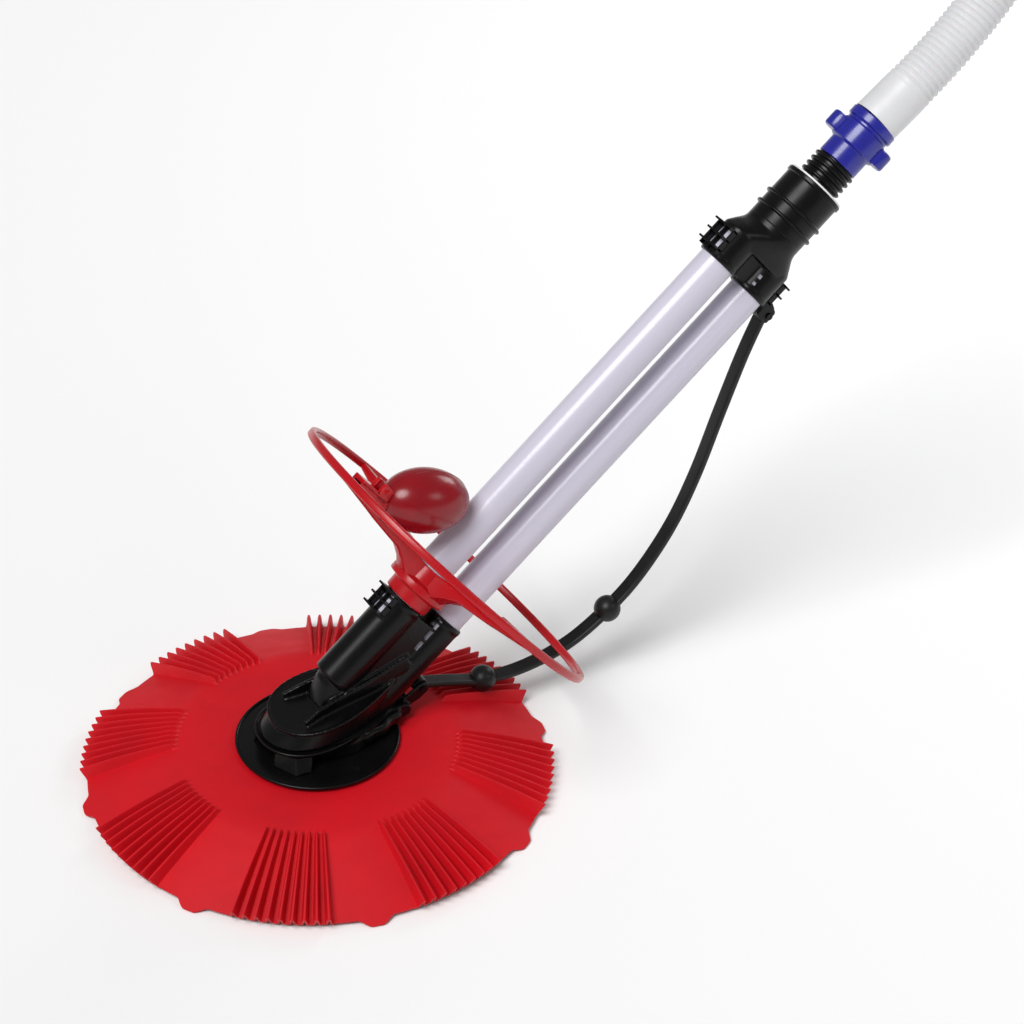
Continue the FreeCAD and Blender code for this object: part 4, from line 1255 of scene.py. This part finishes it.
@dataclass
class RightingFloat:
    """Hollow red float in two welded halves, with its saddle on the ring's upper spoke."""

    centre: Spot = (120.0, 0.0, 288.0)
    half_long: float = 47.6
    half_wide: float = 32.3
    dip_deg: float = 18.1

    def build(self) -> None:
        """Make both halves, the weld bead and the saddle."""
        place = Matrix.Translation(self.centre) @ Matrix.Rotation(math.radians(self.dip_deg), 4, "Y")
        rows = 24
        for side, node in ((-1, "float_near_half"), (1, "float_far_half")):
            shape = Shape(place)
            rings = []
            for row in range(rows + 1):
                lift = math.pi / 2 * row / rows
                flat, high = max(math.cos(lift), POLE), math.sin(lift)
                rings.append([(self.half_long * flat * c, side * self.half_wide * high,
                               self.half_wide * flat * s) for c, s in circle(96)])
            shape.skin(rings)
            bead = [((self.half_long + 0.1) * c, (self.half_wide + 0.1) * s) for c, s in circle(96)]
            shape.skin([[(x * grow, side * y, z * grow) for x, z in bead]
                        for grow, y in ((0.99, 0.0), (1.006, 0.05), (1.006, 0.5), (0.99, 0.9))])
            shape.place = TUBES.matrix(TUBE_OFFSET)
            lug = softened([(-126, 220.4), (-104, 219.4), (-104, 229.4), (-126, 230.4)], 3.5)
            shape.prism(lug, *span(side, 0.0, 3.7))
            piece(f"{node}_shell", shape, Slot.RED_PLASTIC, Body.HEAD, [node], finish=RED_POLYETHYLENE)
        self.build_saddle()

    def build_saddle(self) -> None:
        """Saddle that grips the spoke, with cheeks either side of the float's lug."""
        shape = Shape(TUBES.matrix(TUBE_OFFSET))
        shape.prism(softened([(-152, 216.4), (-108, 216.4), (-108, 218.2), (-128, 218.6), (-131, 221),
                              (-152, 221)], 1.2), -9, 9)
        flank = softened([(-152, 207.4), (-108, 207.4), (-108, 217.4), (-152, 219.4)], 1.2)
        cheek = softened([(-128, 214.4), (-113, 214.4), (-113, 230), (-128, 231)], 3)
        for side in (-1, 1):
            shape.prism(flank, *span(side, 5.6, 9))
            shape.prism(cheek, *span(side, 4.1, 9))
        piece("float_clip", shape, Slot.RED_PLASTIC, Body.HEAD, ["float_saddle"], edge_mm=0.5)


# ---------------------------------------------------------------- adaptor, swivel, cuff

RIDGE = 1.9


@dataclass
class TubeAdaptor:
    """Black adaptor that gathers both tubes into one neck, with fins either side and strap ears."""

    foot: float = 601.0
    neck: float = 31.0
    neck_end: float = 720.5
    bore: float = 27.0
    slot_runs: tuple[Flat, ...] = ((609.0, 613.5), (618.0, 622.5))

    def build(self) -> None:
        """Draw and melt the body, then add the fins, the neck's ribs and the ears."""
        shape = Shape(TUBES.matrix())
        for x in (-TUBE_OFFSET, TUBE_OFFSET):
            shape.rod(SOCKET_RADIUS - 0.2, self.foot, 638, (x, 0), edge=1.0)
            shape.rod(SOCKET_RADIUS + 0.6, self.foot + 0.5, self.foot + 6, (x, 0), edge=0.6)
        shape.block((-TUBE_OFFSET, TUBE_OFFSET), (-9, 9), (self.foot + 4, 640))
        for side in (-1, 1):
            shape.block(span(side, TUBE_OFFSET, TUBE_OFFSET + 21.8), (-12, 12), (604, 632))
        rings = []
        for up, half_long, half_wide, square in ((630, 50, 22.5, 0.7), (638, 49.5, 23.5, 0.72),
                                                 (646, 42, 26.5, 0.85), (653, 34, 29.5, 0.95),
                                                 (657, 31.2, 31, 1.0), (664, self.neck, self.neck, 1.0)):
            rings.append(squared(half_long, half_wide, square, up))
        shape.skin(rings)
        ear = [(TUBE_OFFSET + 20, 592.5), (TUBE_OFFSET + 40, 592.5), (TUBE_OFFSET + 40, 607),
               (TUBE_OFFSET + 28, 612), (TUBE_OFFSET + 20, 612)]
        for side in (-1, 1):
            shape.prism(softened(ear, 3), *span(side, 8.7, 11.7))
        item = moulded("adaptor_shell", shape, voxel_mm=1.1, passes=3)
        hollows = [Shape(TUBES.matrix()).rod(23, 652, 700, edge=0.01)]
        for side in (-1, 1):
            hollows += windows(side, (610.2, 621.8)) + slots(side, self.slot_runs, 2)
        for hollow in hollows:
            hollowed(item, hollow)
        dressed(item, Slot.BLACK_PLASTIC, Body.HEAD, ["tube_adaptor"], angle_deg=50)

        self.build_neck()
        parts = [part for side in (-1, 1)
                 for part in FinLattice(side, 609.0, 11.6, (604.0, 633.0)).build(f"adaptor_{side}")]
        dressed(joined("adaptor_fins", parts), Slot.BLACK_PLASTIC, Body.HEAD)

    def build_neck(self) -> None:
        """Turn the neck's sleeve and grow the two ribs round it."""
        outline = softened([(self.bore, 663), (self.neck, 663), (self.neck, self.neck_end - 5),
                            (self.neck + 1.5, self.neck_end - 4), (self.neck + 1.5, self.neck_end),
                            (self.bore, self.neck_end)], 0.8)
        piece("neck_sleeve", Shape(TUBES.matrix()).lathe(outline, 128), Slot.BLACK_PLASTIC, Body.HEAD)
        ribs = grown("neck_ribs", ring_stack_tree(BLACK_ABS), {
            "Radius": (self.neck + 0.9) * MM, "Thickness": RIDGE * MM, "First": 675.5 * MM,
            "Pitch": 13.7 * MM, "Count": 2.0})
        dressed(moved(ribs, TUBES.matrix()), Slot.BLACK_PLASTIC, Body.HEAD)


@dataclass
class HoseSwivel:
    """White neck ring and the black ribbed spigot that turns in it."""

    collar_bore: float = 20.58
    collar_run: Flat = (720.6, 722.6)
    spigot: float = 20.5
    flange: float = 26.6
    bore: float = 18.1
    foot: float = 700.0
    end: float = 751.0
    ridge: float = 23.6

    def build(self) -> None:
        """Turn the ring for the head, and the spigot with its ridges for the swivel."""
        low, high = self.collar_run
        collar = softened([(self.collar_bore, low), (31.7, low), (31.4, high), (self.collar_bore, high)], 0.7)
        piece("white_collar", Shape(TUBES.matrix()).lathe(collar, 128), Slot.WHITE_PLASTIC, Body.HEAD,
              ["neck_ring"])
        shoulder = self.foot + 5
        outline = softened([(self.bore, self.foot), (self.flange, self.foot), (self.flange, shoulder),
                            (self.spigot, shoulder), (self.spigot, self.end), (self.bore, self.end)], 0.5)
        barrel = place_in_scene("barrel", Shape(TUBES.matrix()).lathe(outline).mesh("barrel"))
        ridges = grown("ridges", ring_stack_tree(BLACK_ABS), {
            "Radius": (self.ridge - RIDGE) * MM, "Thickness": RIDGE * MM, "First": 728.2 * MM,
            "Pitch": 6.5 * MM, "Count": 4.0})
        spigot = joined("ridged_spigot", [barrel, moved(ridges, TUBES.matrix())])
        dressed(spigot, Slot.BLACK_PLASTIC, Body.SWIVEL, ["ribbed_spigot"])


@dataclass
class WingedCuff:
    """Blue hose cuff with two rounded finger wings."""

    collar: float = 22.0
    band: float = 25.5
    upper: float = 26.0
    low: float = 751.3
    end: float = 806.0
    wing_reach: float = 36.6
    wing_radius: float = 11.0
    turn_deg: float = 135.0

    def build(self) -> None:
        """Turn the cuff, add the wings and put it on the cuff's body."""
        outline = softened([(15.5, 724), (18.0, 724), (18.0, self.low), (self.collar, self.low),
                            (self.collar, 770), (self.band, 772), (self.band, 792),
                            (self.band - 1.8, 793.4), (self.band - 1.8, 796), (self.upper, 797.6),
                            (self.upper, self.end),
                            (19.0, self.end), (19.0, self.end + 36), (16.0, self.end + 36)], 0.9)
        shape = Shape(TUBES.matrix()).lathe(outline, 128)
        shape.place = TUBES.matrix() @ Matrix.Rotation(math.radians(self.turn_deg), 4, "Z")
        straight, radius = self.wing_reach - self.wing_radius, self.wing_radius
        plan = []
        steps = 16
        for side, start in ((1, -90), (-1, 90)):
            for step in range(steps + 1):
                angle = math.radians(start + 180 * step / steps)
                plan.append((side * straight + radius * math.cos(angle), radius * math.sin(angle)))
        rings = []
        for inset, up in ((1.6, 773.4), (0.4, 774.4), (0, 776), (0, 788), (0.4, 789.8), (1.6, 790.8)):
            rings.append([(x * (1 - inset / self.wing_reach), y * (1 - inset / radius), up) for x, y in plan])
        shape.skin(rings)
        piece("finger_cuff", shape, Slot.BLUE_PLASTIC, Body.CUFF, ["winged_cuff"])


# ---------------------------------------------------------------- hose and strap

ACROSS = Vector((0, 1, 0))


@dataclass
class Hose:
    """White leader hose that leaves the cuff and ends in its coupler, out of view."""

    radius: float = 25.0
    bore: float = 21.0
    pitch: float = 6.4
    groove: float = 1.9
    smooth_run: float = 42.0
    coupler_length: float = 42.0
    coupler_radius: float = 25.6
    coupler_bore: float = 19.1
    end_run: float = 30.0
    fade: float = 10.0
    steps_per_pitch: int = 8
    route: tuple[Flat, ...] = ((806, 0), (866, -4), (926, -3), (986, 5), (1046, 20), (1106, 42), (1160, 68))

    def centre_line(self) -> list[Vector]:
        """Points along the hose's smooth line, read from its spline.

        Returns:
            The points, in metres.
        """
        curve = bpy.data.curves.new("hose_line", "CURVE")
        curve.dimensions = "3D"
        curve.resolution_u = 48
        spline = curve.splines.new("NURBS")
        corners = [TUBES.point(up, out) * MM for up, out in self.route]
        spline.points.add(len(corners) - 1)
        for spot, corner in zip(spline.points, corners):
            spot.co = (*corner, 1.0)
        spline.order_u = 3
        spline.use_endpoint_u = True
        line = place_in_scene("hose_line", curve)
        bpy.context.view_layer.update()
        graph = bpy.context.evaluated_depsgraph_get()
        mesh = bpy.data.meshes.new_from_object(line.evaluated_get(graph))
        points = [vertex.co.copy() for vertex in mesh.vertices]
        bpy.data.objects.remove(line)
        return points

    def paced(self, line: Sequence[Vector]) -> tuple[list[tuple[Vector, Vector, float]], float]:
        """Even steps along the line, a few for each turn of the corrugation.

        Args:
            line: points along the hose, in metres.

        Returns:
            Place, direction and run in millimetres of each step, and the hose's length in metres.
        """
        steps = [0.0]
        for before, after in zip(line, line[1:]):
            steps.append(steps[-1] + (after - before).length)
        length = steps[-1]
        total = int(length / (self.pitch * MM) * self.steps_per_pitch)
        spots = []
        k = 0
        for j in range(total + 1):
            want = length * j / total
            while k < len(steps) - 2 and steps[k + 1] < want:
                k += 1
            share = (want - steps[k]) / (steps[k + 1] - steps[k])
            ahead = (line[k + 1] - line[k]).normalized()
            spots.append((line[k].lerp(line[k + 1], share), ahead, want / MM))
        return spots, length

    def build(self) -> None:
        """Sweep the corrugated wall along the line and hang the coupler on its end."""
        line = self.centre_line()
        spots, length = self.paced(line)
        rings, inner = [], []
        for k, (spot, ahead, run) in enumerate(spots):
            up = ACROSS.cross(ahead).normalized()
            start = min(max((run - self.smooth_run) / self.fade, 0.0), 1.0)
            stop = min(max((length / MM - self.end_run - run) / self.fade, 0.0), 1.0)
            wave = 0.5 - 0.5 * math.cos(2 * math.pi * run / self.pitch)
            radius = self.radius - self.groove * start * stop * (1 - wave ** 0.6)
            rings.append([(spot / MM + (ACROSS * c + up * s) * radius) for c, s in circle(64)])
            if k % self.steps_per_pitch == 0:
                inner.append([(spot / MM + (ACROSS * c + up * s) * self.bore) for c, s in circle(64)])
        shape = Shape()
        shape.skin(rings + inner[::-1], loop=True)
        hose = piece("leader_hose", shape, Slot.WHITE_HOSE, Body.CUFF, ["hose"])

        end, ahead = spots[-1][0] / MM, spots[-1][1]
        turn = ahead.to_track_quat("Z", "Y").to_matrix().to_4x4()
        wide, long = self.coupler_radius, self.coupler_length
        outline = softened([(self.coupler_bore, 0), (wide - 0.2, 0), (wide, 4), (wide, long - 3),
                            (25.0, long), (self.coupler_bore, long)], 0.8)
        coupler = Shape(Matrix.Translation(end) @ turn).lathe(outline)
        fitting = piece("hose_end_coupler", coupler, Slot.WHITE_HOSE, Body.CUFF, ["hose_coupler"])


@dataclass
class BumperStrap:
    """Springy black strap from the adaptor down to the heel, with two balls that glance off walls."""

    width: float = 16.0
    thickness: float = 6.4
    ball: float = 14.0
    route: tuple[Flat, ...] = ((501, 394), (481, 350), (458, 289), (433, 220), (406, 164), (370, 115),
                               (334, 83), (288, 56), (236, 44), (187, 46), (148, 58), (112, 69))
    balls: tuple[Flat, ...] = ((334, 83), (187, 46))
    eye: float = 8.0
    pin: float = 3.55
    steps: int = 10

    def centre_line(self) -> list[Vector]:
        """Smooth points through the strap's route.

        Returns:
            The points, in millimetres.
        """
        knots = [Vector((x, 0, z)) for x, z in self.route]
        knots = [2 * knots[0] - knots[1], *knots, 2 * knots[-1] - knots[-2]]
        line = []
        for a, b, c, d in zip(knots, knots[1:], knots[2:], knots[3:]):
            for step in range(self.steps):
                t = step / self.steps
                line.append(0.5 * (2 * b + (c - a) * t + (2 * a - 5 * b + 4 * c - d) * t ** 2
                                   + (3 * b - a - 3 * c + d) * t ** 3))
        line.append(knots[-2])
        return line

    def build(self) -> None:
        """Sweep the strap, and add its balls with their collars and its end eyes."""
        line = self.centre_line()
        shape = Shape()
        wide, thick = self.width / 2, self.thickness / 2
        section = softened([(-wide, -thick), (wide, -thick), (wide, thick), (-wide, thick)], 2.4, 5)
        rings = []
        for k, spot in enumerate(line):
            ahead = (line[min(k + 1, len(line) - 1)] - line[max(k - 1, 0)]).normalized()
            out = ahead.cross(ACROSS)
            rings.append([spot + ACROSS * u + out * v for u, v in section])
        shape.skin(rings)
        upper_pin = TUBES.point(600, -64)
        eye = softened([(self.pin, -wide), (self.eye, -wide), (self.eye, wide), (self.pin, wide)], 0.8)
        for x, z in ((upper_pin.x, upper_pin.z), self.route[-1]):
            shape.skin([[(x + r * c, y, z + r * s) for c, s in circle(48)] for r, y in eye], loop=True)
        for x, z in self.balls:
            shape.ball((x, 0, z), self.ball)
            shape.lathe([(self.ball - 0.6, -0.35), (self.ball + 0.15, 0.0), (self.ball - 0.6, 0.35)], 64)
        piece("strap", shape, Slot.BLACK_RUBBER, Body.HEAD, ["bumper_strap"])


# ---------------------------------------------------------------- studio

@dataclass
class Studio:
    """Pale plain floor, soft lights and the camera that looks down on the machine from its side."""

    camera_spot: Spot = (-0.90201, -1.92374, 1.78996)
    right: Spot = (0.87016, -0.49246, 0.01747)
    above: Spot = (0.26877, 0.50402, 0.82120)
    behind: Spot = (-0.41302, -0.70954, 0.57093)
    lens: float = 96.88
    floor_half: float = 30.0
    floor_height: float = -0.0005
    key_from: Spot = (-0.75, -0.35, 1.25)
    key_strength: float = 2.45
    key_spread_deg: float = 32.0
    world_strength: float = 0.26

    def place_camera(self) -> None:
        """Put the camera where it stands, with no shift and no blur."""
        data = bpy.data.cameras.new("camera")
        data.lens, data.sensor_width = self.lens, 36.0
        data.dof.use_dof = False
        camera = bpy.data.objects.new("camera", data)
        bpy.context.scene.collection.objects.link(camera)
        turn = Matrix((self.right, self.above, self.behind)).transposed().to_4x4()
        camera.matrix_world = Matrix.Translation(self.camera_spot) @ turn
        bpy.context.scene.camera = camera

    def lamp(self, name: str, spot: Sequence[float], aim: Sequence[float], size: float, watts: float) -> None:
        """Hang one square soft light.

        Args:
            name: the light's name.
            spot: where it hangs, in metres.
            aim: the point it faces.
            size: length of its side.
            watts: its power.
        """
        data = bpy.data.lights.new(name, "AREA")
        data.size, data.energy = size, watts
        item = bpy.data.objects.new(name, data)
        bpy.context.scene.collection.objects.link(item)
        item.matrix_world = Matrix.Translation(spot) @ (Vector(spot) - Vector(aim)).to_track_quat(
            "Z", "Y").to_matrix().to_4x4()

    def build(self) -> None:
        """Lay the floor and hang the lights."""
        floor = bpy.data.meshes.new("floor")
        corners = ((-1, -1), (1, -1), (1, 1), (-1, 1))
        floor.from_pydata([(x * self.floor_half, y * self.floor_half, self.floor_height) for x, y in corners],
                          [], [(0, 1, 2, 3)])
        paper = bpy.data.materials.new("White paper sweep")
        paper.use_nodes = True
        paper.node_tree.nodes.clear()
        shader = add(paper.node_tree, "ShaderNodeBsdfPrincipled", in_base_color=linear("FAFAFA"),
                     in_roughness=0.9)
        add(paper.node_tree, "ShaderNodeOutputMaterial", shader)
        floor.materials.append(paper)
        place_in_scene("floor", floor)
        sky = bpy.data.lights.new("key", "SUN")
        sky.energy, sky.angle = self.key_strength, math.radians(self.key_spread_deg)
        key = bpy.data.objects.new("key", sky)
        bpy.context.scene.collection.objects.link(key)
        key.matrix_world = Vector(self.key_from).to_track_quat("Z", "Y").to_matrix().to_4x4()
        self.lamp("fill", (1.9, -2.2, 1.9), (0.2, 0, 0.2), 0.9, 7)
        self.lamp("side", (2.6, 0.9, 1.3), (0.3, 0, 0.3), 0.9, 12)
        world = bpy.data.worlds.new("pale_room")
        world.use_nodes = True
        backdrop = world.node_tree.nodes["Background"]
        backdrop.inputs["Color"].default_value = linear("FFFFFF")
        backdrop.inputs["Strength"].default_value = self.world_strength
        bpy.context.scene.world = world
        bpy.context.scene.view_settings.view_transform = "Standard"


# ---------------------------------------------------------------- main

def dress_carried(names: Sequence[str]) -> None:
    """Give the CAD nodes that stay as they are their real materials.

    Args:
        names: the nodes that stay.
    """
    slots = {part["node"]: Slot(part["material_slot"]) for part in FRAME["record"]["subparts"]}
    for name in names:
        item = FRAME["nodes"][name]
        finish = FINISHES[slots[name]].build()
        for entry in item.material_slots or [None]:
            if entry is None:
                item.data.materials.append(finish)
            else:
                entry.link = "OBJECT"
                entry.material = finish
    LOG.info("%d carried nodes dressed", len(names))


CARRIED = ("foot_pad", "disc_clamp_ring", "clamp_screws", "wear_washer", "pad_clip", "flange_screws",
           "casing_gasket", "casing_screws", "ballast_block", "flapper", "flapper_pin", "valve_seat",
           "head_tube_seals", "adaptor_tube_seals", "float_pin", "swivel_bush", "swivel_washer",
           "swivel_seal", "cuff_seal", "lower_strap_pin", "upper_strap_pin")


def main() -> None:
    """Build the camera, the hose, every sub-assembly and the studio, then dress the carried CAD nodes."""
    logging.basicConfig(level=logging.INFO, format="%(name)s %(levelname)s %(message)s")
    studio = Studio()
    studio.place_camera()
    builders: Sequence[Callable[[], None]] = (
        Hose().build, FinnedDisc().build, FootFlange().build, LowerCasing().build, UpperCasing().build,
        SuctionTube("upper_tube", TUBE_OFFSET, 105.0).build,
        SuctionTube("lower_tube", -TUBE_OFFSET, 115.0).build, BumperRing().build, RightingFloat().build,
        TubeAdaptor().build, HoseSwivel().build, WingedCuff().build, BumperStrap().build, studio.build)
    for build in builders:
        build()
    dress_carried(CARRIED)


if __name__ == "__main__":
    main()
